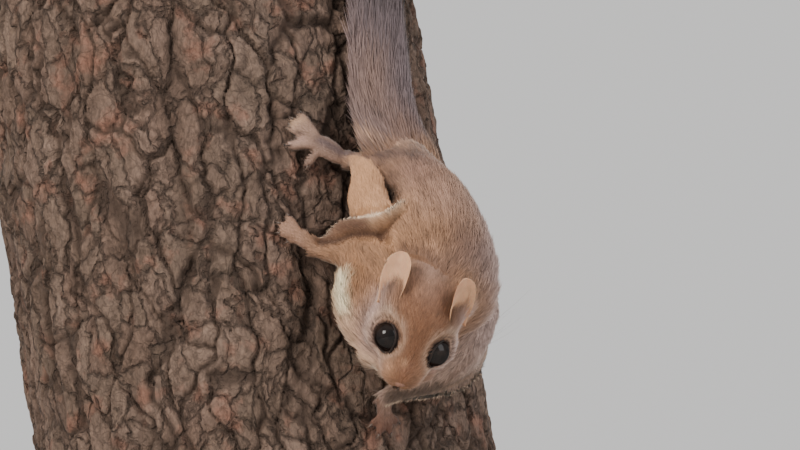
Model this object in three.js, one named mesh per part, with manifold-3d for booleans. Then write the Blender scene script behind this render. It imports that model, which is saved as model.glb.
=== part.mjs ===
// A life-size southern flying squirrel, still, head down on a cut length of tree trunk that a
// plain display stand holds up. Millimetres, +Z up; the origin is the middle of the base's underside.
import * as THREE from "three";
import { LoftGeometry } from "three/addons/geometries/LoftGeometry.js";
import { mergeVertices } from "three/addons/utils/BufferGeometryUtils.js";
import Module from "manifold-3d";

const wasm = await Module();
wasm.setup();

// Driving dimensions
const GAP = 0.3; // between touching pieces
const TRUNK_RADIUS = 80; // over the bark plates
const TRUNK_LENGTH = 226;
const TRUNK_BOTTOM = 50;
const TRUNK_TOP = TRUNK_BOTTOM + TRUNK_LENGTH;
const BODY_HEIGHT = 145; // of the middle of the animal's back above the floor

const BODY_WIDTH = 35; // over the fur, across the ribs
const BODY_DEPTH = 33; // belly to back
const HEAD_LENGTH = 41;
const HEAD_WIDTH = 29;
const EYE_RADIUS = 4.8;
const EAR_LENGTH = 15;
const EAR_WIDTH = 10;
const EAR_THICKNESS = 1;
const MEMBRANE_THICKNESS = 3.2; // of the gliding membrane with its fur
const TAIL_WIDTH = 33;
const TAIL_DEPTH = 9;
const TOE_HALF_THICKNESS = 1.35; // over its fur

// Points and directions
const point = (x, y, z) => new THREE.Vector3(x, y, z);
const radians = THREE.MathUtils.degToRad;

// A point beside the trunk: degrees round it from -Y towards +X, distance out from the bark and
// height above the middle of the body.
function spot(around, out, up) {
  const a = radians(around);
  const reach = TRUNK_RADIUS + out;
  return point(reach * Math.sin(a), -reach * Math.cos(a), BODY_HEIGHT + up);
}

// Along the bark level, up, and out of it, at the middle of the animal.
const ACROSS_TRUNK = [
  point(Math.cos(radians(41)), Math.sin(radians(41)), 0),
  point(Math.sin(radians(41)), -Math.cos(radians(41)), 0),
  point(0, 0, -1),
];

// The direction straight out of the bark at a point.
function outOfBark(p) {
  return point(p.x, p.y, 0).normalize();
}

// A small repeatable random number from 0 to 1 for a whole-number seed.
function draw(seed) {
  const s = Math.sin(seed * 12.9898 + 4.1414) * 43758.5453;
  return s - Math.floor(s);
}

// Solids from geometries
function solidOf(geometry) {
  const bare = new THREE.BufferGeometry();
  bare.setAttribute("position", geometry.attributes.position);
  bare.setIndex(geometry.index);
  const merged = mergeVertices(bare, 1e-4);
  return new wasm.Manifold(
    new wasm.Mesh({
      numProp: 3,
      vertProperties: merged.attributes.position.array,
      triVerts: new Uint32Array(merged.index.array),
    }),
  );
}

// A closed skin through a row of like sections, whichever way round they are drawn.
function loft(sections) {
  const [first, second] = sections;
  const middle = (section) =>
    section.reduce((sum, p) => sum.add(p), point(0, 0, 0)).divideScalar(section.length);
  const start = middle(first);
  const turning = point(0, 0, 0);
  first.forEach((p, i) => {
    const next = first[(i + 1) % first.length].clone().sub(start);
    turning.add(p.clone().sub(start).cross(next));
  });
  const backwards = turning.dot(middle(second).sub(start)) < 0;
  const ordered = backwards ? sections.map((section) => [...section].reverse()) : sections;
  return solidOf(new LoftGeometry(ordered, { capStart: true, capEnd: true }));
}

const join = (...solids) => solids.reduce((whole, piece) => whole.add(piece));

// The largest closed body of a solid, without any loose scrap.
function largest(solid) {
  return solid.decompose().reduce((a, b) => (b.volume() > a.volume() ? b : a));
}

// A limb or body form: oval sections threaded on a smooth path. A station is [place, half width,
// half depth], and the depth points the way that back(place) says. grow swells it evenly.
function form(stations, { rings = 12, sides = 14, back = outOfBark, grow = 0 } = {}) {
  const path = new THREE.CatmullRomCurve3(stations.map((s) => s[0]));
  const girth = new THREE.CatmullRomCurve3(
    stations.map((s) => point(s[1], s[2], 0)),
    false,
    "catmullrom",
  );
  const sections = [];
  for (let i = 0; i <= rings; i++) {
    const along = i / rings;
    const centre = path.getPoint(along);
    const tangent = path.getTangent(along);
    const size = girth.getPoint(along);
    const deep = back(centre).clone();
    deep.addScaledVector(tangent, -deep.dot(tangent)).normalize();
    const wide = deep.clone().cross(tangent);
    if (i === 0) centre.addScaledVector(tangent, -Math.max(grow, 0));
    if (i === rings) centre.addScaledVector(tangent, Math.max(grow, 0));
    const section = [];
    for (let j = 0; j < sides; j++) {
      const turn = (2 * Math.PI * j) / sides;
      const across = (Math.max(size.x, 0.2) + grow) * Math.cos(turn);
      const through = (Math.max(size.y, 0.2) + grow) * Math.sin(turn);
      section.push(centre.clone().addScaledVector(wide, across).addScaledVector(deep, through));
    }
    sections.push(section);
  }
  return loft(sections);
}

// An egg-shaped lump with half sizes along the three given directions.
function lump(centre, [a, b, c], [u, v, w], grow = 0, facets = 14) {
  const ball = new THREE.SphereGeometry(1, facets, Math.round(facets * 0.7));
  const frame = new THREE.Matrix4().makeBasis(
    u.clone().multiplyScalar(a + grow),
    v.clone().multiplyScalar(b + grow),
    w.clone().multiplyScalar(c + grow),
  );
  frame.setPosition(centre);
  ball.applyMatrix4(frame);
  return solidOf(ball);
}

// Trunk: a cylinder of bark plates in staggered columns with furrows between them.
const PLATE_COLUMNS = 15;
const PLATE_HEIGHT = 32;
const FURROW_DEPTH = 3;
const FURROW_SHARE = 0.09; // of a plate's width, from the furrow's bottom to the plate's face
const BARK_ROWS = 19;

function barkPoint(column, share, height) {
  const wander = 0.16 * Math.sin(height / 27 + column * 1.9) + 0.08 * Math.sin(height / 11 + column);
  const a = (2 * Math.PI * (column + share + wander * (share < 0.5 ? 1 : 0.9))) / PLATE_COLUMNS;
  const stagger = draw(column + 3) * PLATE_HEIGHT;
  const plate = Math.floor((height + stagger) / PLATE_HEIGHT);
  const inPlate = (height + stagger) / PLATE_HEIGHT - plate;
  const crack = Math.max(0, 1 - Math.min(inPlate, 1 - inPlate) / 0.16);
  const face = 0.2 + 0.9 * draw(column * 31 + plate * 7);
  const depth = share === 0 ? FURROW_DEPTH : face + 1.3 * crack;
  return { a, depth };
}

function trunkShape(grow) {
  const shares = [0, FURROW_SHARE, 0.5, 1 - FURROW_SHARE];
  const sections = [];
  for (let row = 0; row <= BARK_ROWS; row++) {
    const height = (TRUNK_LENGTH * row) / BARK_ROWS;
    const section = [];
    for (let column = 0; column < PLATE_COLUMNS; column++) {
      for (const share of shares) {
        const { a, depth } = barkPoint(column, share, height);
        const reach = TRUNK_RADIUS - depth + grow;
        section.push(point(reach * Math.cos(a), reach * Math.sin(a), TRUNK_BOTTOM + height));
      }
    }
    sections.push(section);
  }
  return loft(sections);
}

// Torso: hunched, from the rump above to the breast below.
const HALF_WIDTH = BODY_WIDTH / 2;
const HALF_DEPTH = BODY_DEPTH / 2;

function torsoShape(grow) {
  const ribs = form(
    [
      [spot(46, 10.5, 26), 0.24 * HALF_WIDTH, 0.24 * HALF_DEPTH],
      [spot(44.2, 14, 22.5), 0.58 * HALF_WIDTH, 0.56 * HALF_DEPTH],
      [spot(42, 19, 13.5), 0.89 * HALF_WIDTH, 0.84 * HALF_DEPTH],
      [spot(41.5, 24, 2), 1.01 * HALF_WIDTH, 0.97 * HALF_DEPTH],
      [spot(41.9, 26, -9), 1.06 * HALF_WIDTH, HALF_DEPTH],
      [spot(42.3, 25.5, -20), 1.03 * HALF_WIDTH, 0.94 * HALF_DEPTH],
      [spot(41.4, 23, -29), 0.72 * HALF_WIDTH, 0.7 * HALF_DEPTH],
      [spot(40.5, 21, -35), 0.26 * HALF_WIDTH, 0.26 * HALF_DEPTH],
    ],
    { rings: 15, sides: 20, grow },
  );
  const chest = lump(spot(39, 17, -30), [13, 11, 12], ACROSS_TRUNK, grow, 14);
  return ribs.add(chest);
}

// Head: its own axes, with the nose down along the trunk and turned to the animal's right.
const HEAD_PLACE = spot(31.9, 32.05, -29.65);
const FORWARD = point(-0.357, -0.335, -0.872).normalize();
const CROWN = point(0.357, -0.912, 0.204);
CROWN.addScaledVector(FORWARD, -CROWN.dot(FORWARD)).normalize();
const RIGHT = FORWARD.clone().cross(CROWN);
const crownwards = () => CROWN;

// A point in the head: ahead of its middle, to the animal's right and towards the crown.
function inHead(ahead, right, up) {
  return HEAD_PLACE.clone()
    .addScaledVector(FORWARD, ahead)
    .addScaledVector(RIGHT, right)
    .addScaledVector(CROWN, up);
}

const HEAD_AXES = [RIGHT, CROWN, FORWARD.clone().negate()];
const HEAD_HALF = HEAD_WIDTH / 2;
const NOSE_AHEAD = HEAD_LENGTH / 2 + 0.6;
const SKULL_BACK = NOSE_AHEAD - HEAD_LENGTH;

// Stations of the head as shares: how far from the back of the skull to the nose, how high the
// middle of the section lies, and its half width and half depth in half head widths.
const HEAD_STATIONS = [
  [0, 0.08, 0.34, 0.3],
  [0.1, 0.08, 0.72, 0.62],
  [0.24, 0.06, 0.93, 0.79],
  [0.4, 0.02, 1, 0.82],
  [0.55, -0.04, 0.94, 0.77],
  [0.68, -0.12, 0.79, 0.66],
  [0.79, -0.19, 0.63, 0.52],
  [0.89, -0.23, 0.5, 0.42],
  [0.96, -0.22, 0.37, 0.32],
  [1, -0.21, 0.2, 0.18],
];

function skullShape(grow) {
  const stations = HEAD_STATIONS.map(([share, up, wide, deep]) => [
    inHead(SKULL_BACK + share * HEAD_LENGTH, 0, up * HEAD_HALF),
    wide * HEAD_HALF,
    deep * HEAD_HALF,
  ]);
  return form(stations, { rings: 18, sides: 20, back: crownwards, grow });
}

const SIDES = [
  ["right", 1],
  ["left", -1],
];
const EYE_AHEAD = 8;
const EYE_OUT = 7.4;
const EYE_UP = 1.2;

// Where an eye looks: mostly sideways, a little ahead and up.
function eyeLook(side) {
  return point(0, 0, 0)
    .addScaledVector(RIGHT, 0.8 * side)
    .addScaledVector(CROWN, 0.4)
    .addScaledVector(FORWARD, 0.38)
    .normalize();
}

function eyeShape(side, grow) {
  return lump(
    inHead(EYE_AHEAD, EYE_OUT * side, EYE_UP),
    [EYE_RADIUS, EYE_RADIUS, EYE_RADIUS],
    HEAD_AXES,
    grow,
    14,
  );
}

// A ring laid round a line of sight.
function ring(centre, normal, radius, thickness) {
  const torus = new THREE.TorusGeometry(radius, thickness, 5, 16);
  const across = FORWARD.clone().addScaledVector(normal, -FORWARD.dot(normal)).normalize();
  const frame = new THREE.Matrix4().makeBasis(across, normal.clone().cross(across), normal);
  frame.setPosition(centre);
  torus.applyMatrix4(frame);
  return solidOf(torus);
}

// The swelling round an eye, and the lids as a rim on it.
function orbit(side) {
  const look = eyeLook(side);
  const centre = inHead(EYE_AHEAD, EYE_OUT * side, EYE_UP);
  const swelling = 1.14 * EYE_RADIUS;
  const mound = lump(
    centre.clone().addScaledVector(look, -0.25 * EYE_RADIUS),
    [swelling, swelling, 1.1 * swelling],
    HEAD_AXES,
    0,
    12,
  );
  return mound.add(ring(centre.addScaledVector(look, 0.4 * EYE_RADIUS), look, EYE_RADIUS, 0.75));
}

// Muzzle: whisker pads, nose and a lower jaw that the upper lip overhangs.
const LIP_UP = -6;

function muzzle(grow) {
  const pads = SIDES.map(([, side]) =>
    lump(inHead(15.7, 3.2 * side, -4.1), [3.3, 2.7, 4.3], HEAD_AXES, grow, 10),
  );
  const nose = lump(inHead(NOSE_AHEAD - 1, 0, -2.6), [2.2, 1.8, 1.7], HEAD_AXES, grow, 10);
  const jaw = form(
    [
      [inHead(0, 0, -5), 6.5, 5],
      [inHead(8, 0, -6.2), 5.6, 3.8],
      [inHead(13.2, 0, -7), 3.9, 2.4],
      [inHead(17.5, 0, -6.9), 2, 1.3],
    ],
    { rings: 6, sides: 12, back: crownwards, grow },
  );
  return join(...pads, nose, jaw);
}

// The line of the mouth: a thin slot round the muzzle, 0.9 mm deep, between lip and jaw.
function mouthLine() {
  const slot = new THREE.BoxGeometry(16, 0.5, 14);
  const frame = new THREE.Matrix4().makeBasis(...HEAD_AXES);
  frame.setPosition(inHead(18.5, 0, LIP_UP));
  slot.applyMatrix4(frame);
  return solidOf(slot).subtract(join(skullShape(-0.9), muzzle(-0.9)));
}

function nostril(side) {
  return lump(inHead(NOSE_AHEAD + 0.5, 1.15 * side, -2.9), [0.6, 0.45, 0.9], HEAD_AXES, 0, 8);
}

function cheek(side, grow) {
  return lump(inHead(2.5, 7.9 * side, -3.6), [8, 7.4, 10], HEAD_AXES, grow, 12);
}

function headShape(grow) {
  return join(skullShape(grow), muzzle(grow), cheek(1, grow), cheek(-1, grow));
}

// Ear: a thin cup on a narrow base, open forwards and outwards. Each ear leans its own way: how far
// forwards, towards the crown and outwards its tip lies.
const EAR_LEAN = { right: [-0.78, 0.6, 0.15], left: [-0.46, 0.88, -0.08] };

function earShape(name, side) {
  const [ahead, up, outward] = EAR_LEAN[name];
  const axis = point(0, 0, 0)
    .addScaledVector(FORWARD, ahead)
    .addScaledVector(CROWN, up)
    .addScaledVector(RIGHT, outward * side)
    .normalize();
  const open = point(0, 0, 0)
    .addScaledVector(FORWARD, 0.55)
    .addScaledVector(CROWN, 0.5)
    .addScaledVector(RIGHT, 0.6 * side);
  open.addScaledVector(axis, -open.dot(axis)).normalize();
  const across = axis.clone().cross(open);
  const root = inHead(-1.8, 11.3 * side, 6.2);
  const levels = 8;
  const steps = 7;
  const sections = [];
  for (let i = 0; i <= levels; i++) {
    const rise = Math.sin((0.5 * Math.PI * i) / levels);
    const taper = (1 - (Math.max(0, rise - 0.62) / 0.39) ** 2.6) ** 0.5;
    const spread = 0.74 + 0.26 * Math.min(1, rise / 0.45);
    const half = (EAR_WIDTH / 2) * taper * spread;
    const wrap = radians(THREE.MathUtils.lerp(88, 34, Math.sqrt(rise))); // half of the cup's arc
    const radius = half / Math.sin(wrap);
    const lean = 1.6 * rise * rise; // the tip curls a little back
    const centre = root
      .clone()
      .addScaledVector(axis, (EAR_LENGTH + 2) * rise - 2)
      .addScaledVector(open, radius - 2.2 - lean);
    const section = [];
    for (const [r, turned] of [[radius, 1], [radius - EAR_THICKNESS, -0.97]]) {
      for (let j = 0; j <= steps; j++) {
        const turn = turned * THREE.MathUtils.lerp(-wrap, wrap, j / steps);
        const p = centre.clone().addScaledVector(open, -r * Math.cos(turn));
        section.push(p.addScaledVector(across, r * Math.sin(turn)));
      }
    }
    sections.push(section);
  }
  return loft(sections);
}

// Neck: short and thick, with the loose skin of the throat bulging on the right.
function neckShape(grow) {
  const nape = form(
    [
      [spot(42, 27, -15), 12, 11],
      [spot(39, 29, -20), 14, 12.5],
      [spot(35.5, 31, -24), 13.5, 12],
      [spot(33, 32, -27), 9, 8],
    ],
    { rings: 7, sides: 16, grow, back: () => point(0.1, -0.3, 1) },
  );
  const throat = form(
    [
      [spot(30.8, 15, -7), 6, 5.5],
      [spot(29.4, 15, -14), 12.5, 9.5],
      [spot(29.6, 16.5, -24), 14.2, 10.5],
      [spot(30.2, 20, -33), 11.7, 9],
      [spot(31.6, 24, -39.5), 6.5, 6],
    ],
    { rings: 9, sides: 16, grow },
  );
  return join(nape, throat);
}

// Legs. Each row is a joint's place and the leg's half thickness there over the fur.
const FORELEG = {
  right: [
    [spot(37, 27, -16), 10, 9.5],
    [spot(31.5, 19, -9), 9, 8.5],
    [spot(27.5, 11, -3.5), 6.6, 6],
    [spot(24, 6, -0.2), 4.4, 4],
    [spot(21.6, 4.3, 1.2), 3.5, 3],
  ],
  left: [
    [spot(47.6, 25, -17), 10.2, 9.5],
    [spot(49.3, 21.3, -27.5), 10.8, 9.5],
    [spot(46.5, 16, -39.5), 8.3, 7.5],
    [spot(39, 9.5, -45.5), 4.6, 4.2],
    [spot(31.6, 4.7, -50), 3, 2.7],
  ],
};

const HINDLEG = {
  right: [
    [spot(42.5, 20, 14), 11, 10.5],
    [spot(39.6, 18, 20.5), 8, 7.5],
    [spot(37.8, 13, 24.2), 5.6, 5.2],
    [spot(35.6, 7.6, 26.4), 3.8, 3.6],
    [spot(33.4, 4.6, 28), 3.3, 3],
  ],
  left: [
    [spot(43.5, 18.5, 14), 10.5, 10],
    [spot(53, 14.5, 3.5), 8, 7.5],
    [spot(59, 10, 6.5), 5.6, 5.2],
    [spot(62.5, 6, 9.8), 3.8, 3.6],
    [spot(65, 4.6, 12), 3.1, 2.9],
  ],
};

function legShape(joints, grow) {
  return form(joints, { rings: 9, sides: 12, grow });
}

// Feet: a palm or sole, then short furred toes that grip the bark and end in hooked claws. A toe is
// given by the angle round the trunk and the height of its tip, and its thickness as a share.
const FORE_HALF_WIDTH = 3.2;
const HIND_HALF_WIDTH = 3.6;
const FOREFOOT = {
  right: {
    wrist: [21.6, 4.3, 1.2],
    palm: [19.6, 3.4, 5.2],
    toes: [[17.4, 4.6, 1], [15.7, 7.2, 1], [15.9, 10, 1], [18, 11.8, 0.95]],
  },
  left: {
    wrist: [31.6, 4.7, -50],
    palm: [32.4, 3.2, -54.2],
    toes: [[29.6, -57, 0.95], [30.6, -60.2, 1], [33.4, -60.4, 1], [35.6, -57.6, 0.95]],
  },
};
const HINDFOOT = {
  right: {
    wrist: [33.4, 4.6, 28],
    palm: [27.8, 3.6, 34],
    toes: [[24.8, 28.8, 0.95], [21.8, 35.3, 1.3], [22.2, 40.6, 1.1], [23.2, 43, 1.05], [25.2, 44.6, 1]],
  },
  left: {
    wrist: [65, 4.6, 12],
    palm: [71.4, 3.4, 6],
    toes: [[75.4, 11.2, 1], [77.6, 7.6, 1.1], [77.8, 3, 1.1], [75.8, -1, 1.1], [72.8, -3.8, 1]],
  },
};
const CLAW_LENGTH = 2.4;

function toe(palm, [around, up, share], grow) {
  const thick = TOE_HALF_THICKNESS * share;
  const tip = spot(around, 0.75 * thick, up);
  const outward = outOfBark(tip);
  const knuckle = palm.clone().lerp(tip, 0.52).addScaledVector(outward, 1.1);
  const beyond = tip.clone().sub(knuckle).setLength(CLAW_LENGTH);
  const digit = form(
    [
      [palm, 1.1 * thick, thick],
      [knuckle, 1.05 * thick, thick],
      [tip, 1.05 * thick, 0.9 * thick],
      [tip.clone().addScaledVector(beyond, 0.36), 0.5 * thick, 0.5 * thick],
    ],
    { rings: 4, sides: 6, grow },
  );
  const claw = form(
    [
      [tip.clone().addScaledVector(beyond, 0.2), 0.5, 0.55],
      [tip.clone().addScaledVector(beyond, 0.8), 0.4, 0.45],
      [tip.clone().addScaledVector(beyond, 1.1).addScaledVector(outward, -1), 0.2, 0.2],
    ],
    { rings: 2, sides: 4, grow },
  );
  return digit.add(claw);
}

function footShape({ wrist, palm, toes }, halfWidth, grow) {
  const root = spot(...wrist);
  const ball = spot(...palm);
  const sole = form(
    [
      [root.clone().lerp(ball, -0.15), 2.8, 2.5],
      [root.clone().lerp(ball, 0.35), 0.9 * halfWidth, 2.3],
      [ball, halfWidth, 2.2],
      [root.clone().lerp(ball, 1.22), 0.6 * halfWidth, 1.3],
    ],
    { rings: 5, sides: 10, grow },
  );
  return join(sole, ...toes.map((given) => toe(ball, given, grow)));
}

// Gliding membrane: a furred sheet between a rim and the flank. A row gives the rim's place, the
// flank's place and the half thickness; slack bulges it out of the bark.
function membrane(rows, { rings = 14, slack = 2, grow = 0 }) {
  const rim = new THREE.CatmullRomCurve3(rows.map((r) => r[0]));
  const flank = new THREE.CatmullRomCurve3(rows.map((r) => r[1]));
  const across = 4;
  const sections = [];
  for (let i = 0; i <= rings; i++) {
    const along = i / rings;
    const edge = rim.getPoint(along);
    const root = flank.getPoint(along);
    const chord = root.clone().sub(edge);
    const middle = edge.clone().lerp(root, 0.5);
    const run = rim.getTangent(along);
    const normal = chord.clone().cross(run).normalize();
    if (normal.dot(outOfBark(middle)) < 0) normal.negate();
    const top = [];
    const under = [];
    for (let j = 0; j <= across; j++) {
      const share = j / across;
      const half = (MEMBRANE_THICKNESS / 2) * (0.62 + 0.6 * share) + grow;
      const spine = edge
        .clone()
        .addScaledVector(chord, share)
        .addScaledVector(normal, slack * Math.sin(Math.PI * share));
      top.push(spine.clone().addScaledVector(normal, half));
      under.unshift(spine.clone().addScaledVector(normal, -half));
    }
    const nose = edge.clone().addScaledVector(chord, -(0.4 * MEMBRANE_THICKNESS + grow) / chord.length());
    sections.push([...top, ...under, nose]);
  }
  return loft(sections);
}

// Right side: the slack membrane rolls over between ankle and elbow, and a flap of it lies along
// the forearm.
function rightMembrane(grow) {
  const roll = form(
    [
      [spot(32.6, 8, 28), 1.5, 1.2],
      [spot(32.3, 13, 23.8), 5, 2.4],
      [spot(31.6, 16.5, 19.5), 7.6, 3.2],
      [spot(31.6, 17.4, 15.5), 9, 3.6],
      [spot(31.6, 17.4, 11), 9.7, 3.8],
      [spot(31.6, 19, 5.5), 9, 3.8],
      [spot(31.6, 19, -0.5), 7, 3],
    ],
    { rings: 10, sides: 12, back: () => point(-0.72, -0.7, 0), grow },
  );
  const flap = membrane(
    [
      [spot(24, 4.5, 3.4), spot(23.8, 6.5, -1.5)],
      [spot(26, 12, 6.6), spot(26, 13.5, -3)],
      [spot(27.7, 17, 6.8), spot(28.6, 19, -4.5)],
      [spot(30, 24.5, 5.6), spot(31.5, 25.5, -5)],
      [spot(31.4, 30, 6.4), spot(34, 29.5, -4)],
      [spot(32.8, 34.5, 8.4), spot(36, 31.5, 0.5)],
    ],
    { rings: 10, slack: -1.4, grow },
  );
  return roll.add(flap);
}

// Left side: from the wrist under the chin, then up the flank to the ankle.
function leftMembrane(grow) {
  return membrane(
    [
      [spot(32, 5.5, -51.6), spot(34, 6.5, -47)],
      [spot(38, 10, -51.9), spot(42, 11, -45)],
      [spot(44, 13, -51.4), spot(47.5, 14, -42)],
      [spot(51, 14.5, -48.6), spot(50, 16, -36)],
      [spot(58, 15, -39), spot(51, 18, -28)],
      [spot(62, 14.5, -24), spot(52, 19, -14)],
      [spot(64, 12, -8), spot(53.5, 17, -2)],
      [spot(65, 7.5, 8), spot(58, 12, 5)],
    ],
    { rings: 15, slack: 3, grow },
  );
}

// Tail: a flat brush laid up the trunk. A core runs nearly to the tip, and tapered locks leave it
// along both edges, over the back and at the end.
const TAIL_PATH = new THREE.CatmullRomCurve3([
  spot(45.2, 13, 19),
  spot(44.8, 10.5, 27),
  spot(44.2, 8.2, 36),
  spot(44.4, 6.8, 46),
  spot(45.8, 6.2, 58),
  spot(48, 6, 76),
  spot(50, 6, 94),
  spot(51.5, 6.4, 108),
]);
const TAIL_LOCK_ROWS = 12;
const TAIL_TIP_UP = 122;

// Half width of the whole brush at a share of its length.
function tailHalf(share) {
  return (TAIL_WIDTH / 2) * (1 - 0.38 * share ** 1.2);
}

function tailCore() {
  const stations = [0, 0.12, 0.3, 0.5, 0.7, 0.88, 1].map((share) => {
    const thin = share > 0.85 ? 1 - 2.4 * (share - 0.85) : 1;
    return [
      TAIL_PATH.getPoint(share),
      0.56 * tailHalf(share) * thin,
      0.5 * TAIL_DEPTH * (1 - 0.3 * share) * thin,
    ];
  });
  return form(stations, { rings: 13, sides: 12 });
}

// A flat tapered lock from root to tip that bows outwards, with an oval foot sunk in the core.
function lock(root, tip, bow, halfWidth) {
  const middle = root.clone().lerp(tip, 0.5).add(bow);
  return form(
    [
      [root, 0.8 * halfWidth, 0.9],
      [middle, halfWidth, 0.75],
      [tip, 0.25, 0.25],
    ],
    { rings: 3, sides: 4 },
  );
}

function tailShape() {
  const locks = [];
  for (let row = 0; row < TAIL_LOCK_ROWS; row++) {
    const share = row / (TAIL_LOCK_ROWS - 1);
    const from = 0.02 + 0.88 * share;
    const length = 13 + 3 * draw(row) + 2 * share;
    for (const edge of [-1, 1]) {
      const base = TAIL_PATH.getPoint(from);
      const along = TAIL_PATH.getTangent(from);
      const out = outOfBark(base);
      const across = out.clone().cross(along).normalize().multiplyScalar(edge);
      const root = base.clone().addScaledVector(across, 0.36 * tailHalf(from));
      const reach = Math.min(1, from + length / 95);
      const spread = (tailHalf(reach) - 0.36 * tailHalf(from)) * (0.98 + 0.1 * (draw(row + 40) - 0.5));
      const tip = root
        .clone()
        .addScaledVector(along, length)
        .addScaledVector(across, spread)
        .addScaledVector(out, -1.2);
      locks.push(lock(root, tip, across.clone().multiplyScalar(0.16 * spread), 2.6));
      if (row % 2 === 0) {
        const top = base
          .clone()
          .addScaledVector(across, 0.17 * tailHalf(from))
          .addScaledVector(out, 0.25 * TAIL_DEPTH);
        const end = top
          .clone()
          .addScaledVector(along, length)
          .addScaledVector(across, 0.3 * tailHalf(from))
          .addScaledVector(out, 1.2);
        locks.push(lock(top, end, out.clone().multiplyScalar(0.9), 2.4));
      }
    }
  }
  const last = TAIL_PATH.getPoint(0.97);
  const along = TAIL_PATH.getTangent(1);
  const across = outOfBark(last).cross(along).normalize();
  const fan = 7;
  for (let i = 0; i < fan; i++) {
    const turn = (i - (fan - 1) / 2) / (fan - 1);
    const reach = BODY_HEIGHT + TAIL_TIP_UP - last.z - 5 * Math.abs(turn);
    const tip = last
      .clone()
      .addScaledVector(along, reach)
      .addScaledVector(across, 15 * turn);
    const root = last.clone().addScaledVector(across, 5 * turn);
    locks.push(lock(root, tip, along.clone().multiplyScalar(0.5), 2.3));
  }
  return join(tailCore(), ...locks);
}

// Stand: a turned base with two rods up to the sawn end of the trunk.
const BASE_RADIUS = 78;
const BASE_THICKNESS = 14;
const ROD_RADIUS = 5;
const ROD_SPACING = 60;
const COLLAR_RADIUS = 10;
const COLLAR_HEIGHT = 4;

function standBase() {
  const bevel = 3;
  const profile = [
    new THREE.Vector2(0, 0),
    new THREE.Vector2(BASE_RADIUS, 0),
    new THREE.Vector2(BASE_RADIUS, BASE_THICKNESS - bevel),
    new THREE.Vector2(BASE_RADIUS - bevel, BASE_THICKNESS),
    new THREE.Vector2(0, BASE_THICKNESS),
  ];
  const turned = new THREE.LatheGeometry(profile, 36);
  turned.rotateX(Math.PI / 2);
  return solidOf(turned);
}

function standRod(x) {
  const bottom = BASE_THICKNESS + GAP;
  const top = TRUNK_BOTTOM - GAP;
  const profile = [
    new THREE.Vector2(0, bottom),
    new THREE.Vector2(COLLAR_RADIUS, bottom),
    new THREE.Vector2(COLLAR_RADIUS - 1, bottom + COLLAR_HEIGHT),
    new THREE.Vector2(ROD_RADIUS, bottom + COLLAR_HEIGHT),
    new THREE.Vector2(ROD_RADIUS, top),
    new THREE.Vector2(0, top),
  ];
  const turned = new THREE.LatheGeometry(profile, 16);
  turned.rotateX(Math.PI / 2);
  turned.translate(x, 0, 0);
  return solidOf(turned);
}

// Putting the pieces together, each trimmed clear of what it grows from.
const furBrown = new THREE.MeshStandardMaterial({ color: 0x9a7e74, roughness: 0.95 });
const furHead = new THREE.MeshStandardMaterial({ color: 0x93705a, roughness: 0.95 });
const furCream = new THREE.MeshStandardMaterial({ color: 0xbb9b82, roughness: 0.95 });
const furTail = new THREE.MeshStandardMaterial({ color: 0x806f72, roughness: 0.95 });
const bareSkin = new THREE.MeshStandardMaterial({ color: 0xc2a28b, roughness: 0.7 });
const eyeBlack = new THREE.MeshStandardMaterial({ color: 0x14100e, roughness: 0.08 });
const bark = new THREE.MeshStandardMaterial({ color: 0x695648, roughness: 0.95 });
const baseWood = new THREE.MeshStandardMaterial({ color: 0x5a3a22, roughness: 0.4 });
const rodSteel = new THREE.MeshStandardMaterial({ color: 0x9a9a9a, roughness: 0.35, metalness: 1 });

const model = new THREE.Group();

function addNode(name, solid, material) {
  const kept = largest(solid);
  const made = kept.getMesh();
  const geometry = new THREE.BufferGeometry();
  geometry.setAttribute("position", new THREE.BufferAttribute(made.vertProperties, 3));
  geometry.setIndex(new THREE.BufferAttribute(made.triVerts, 1));
  geometry.computeVertexNormals();
  const mesh = new THREE.Mesh(geometry, material);
  mesh.name = name;
  model.add(mesh);
  return kept;
}

const without = (solid, ...others) => others.reduce((left, other) => left.subtract(other), solid);

addNode("perch_trunk", trunkShape(0), bark);
const trunkRoom = trunkShape(GAP);

addNode("torso", without(torsoShape(0), trunkRoom), furBrown);
const torsoRoom = torsoShape(GAP);

addNode("neck", without(neckShape(0), torsoRoom, trunkRoom), furCream);
const neckRoom = neckShape(GAP);

const eyeRooms = SIDES.map(([, side]) => eyeShape(side, GAP));
const faceCuts = [mouthLine(), nostril(1), nostril(-1)];
const head = without(
  join(headShape(0), orbit(1), orbit(-1)),
  ...faceCuts,
  ...eyeRooms,
  neckRoom,
  torsoRoom,
);
addNode("head", head, furHead);
const headRoom = headShape(GAP);

for (const [name, side] of SIDES) {
  addNode("eye_" + name, eyeShape(side, 0), eyeBlack);
  addNode("ear_" + name, without(earShape(name, side), headRoom, neckRoom, torsoRoom), bareSkin);
}

const rooms = [torsoRoom, neckRoom, headRoom, trunkRoom];
for (const [name] of SIDES) {
  addNode("foreleg_" + name, without(legShape(FORELEG[name], 0), ...rooms), furBrown);
  addNode("hindleg_" + name, without(legShape(HINDLEG[name], 0), ...rooms), furBrown);
}
for (const [name] of SIDES) {
  rooms.push(legShape(FORELEG[name], GAP), legShape(HINDLEG[name], GAP));
}
for (const [name] of SIDES) {
  const forefoot = footShape(FOREFOOT[name], FORE_HALF_WIDTH, 0);
  const hindfoot = footShape(HINDFOOT[name], HIND_HALF_WIDTH, 0);
  addNode("forefoot_" + name, without(forefoot, ...rooms), bareSkin);
  addNode("hindfoot_" + name, without(hindfoot, ...rooms), bareSkin);
}
for (const [name] of SIDES) {
  rooms.push(footShape(FOREFOOT[name], FORE_HALF_WIDTH, GAP));
  rooms.push(footShape(HINDFOOT[name], HIND_HALF_WIDTH, GAP));
}

addNode("membrane_right", without(rightMembrane(0), ...rooms), furCream);
addNode("membrane_left", without(leftMembrane(0), ...rooms), furBrown);
rooms.push(rightMembrane(GAP), leftMembrane(GAP));
addNode("tail", without(tailShape(), ...rooms), furTail);

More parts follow.
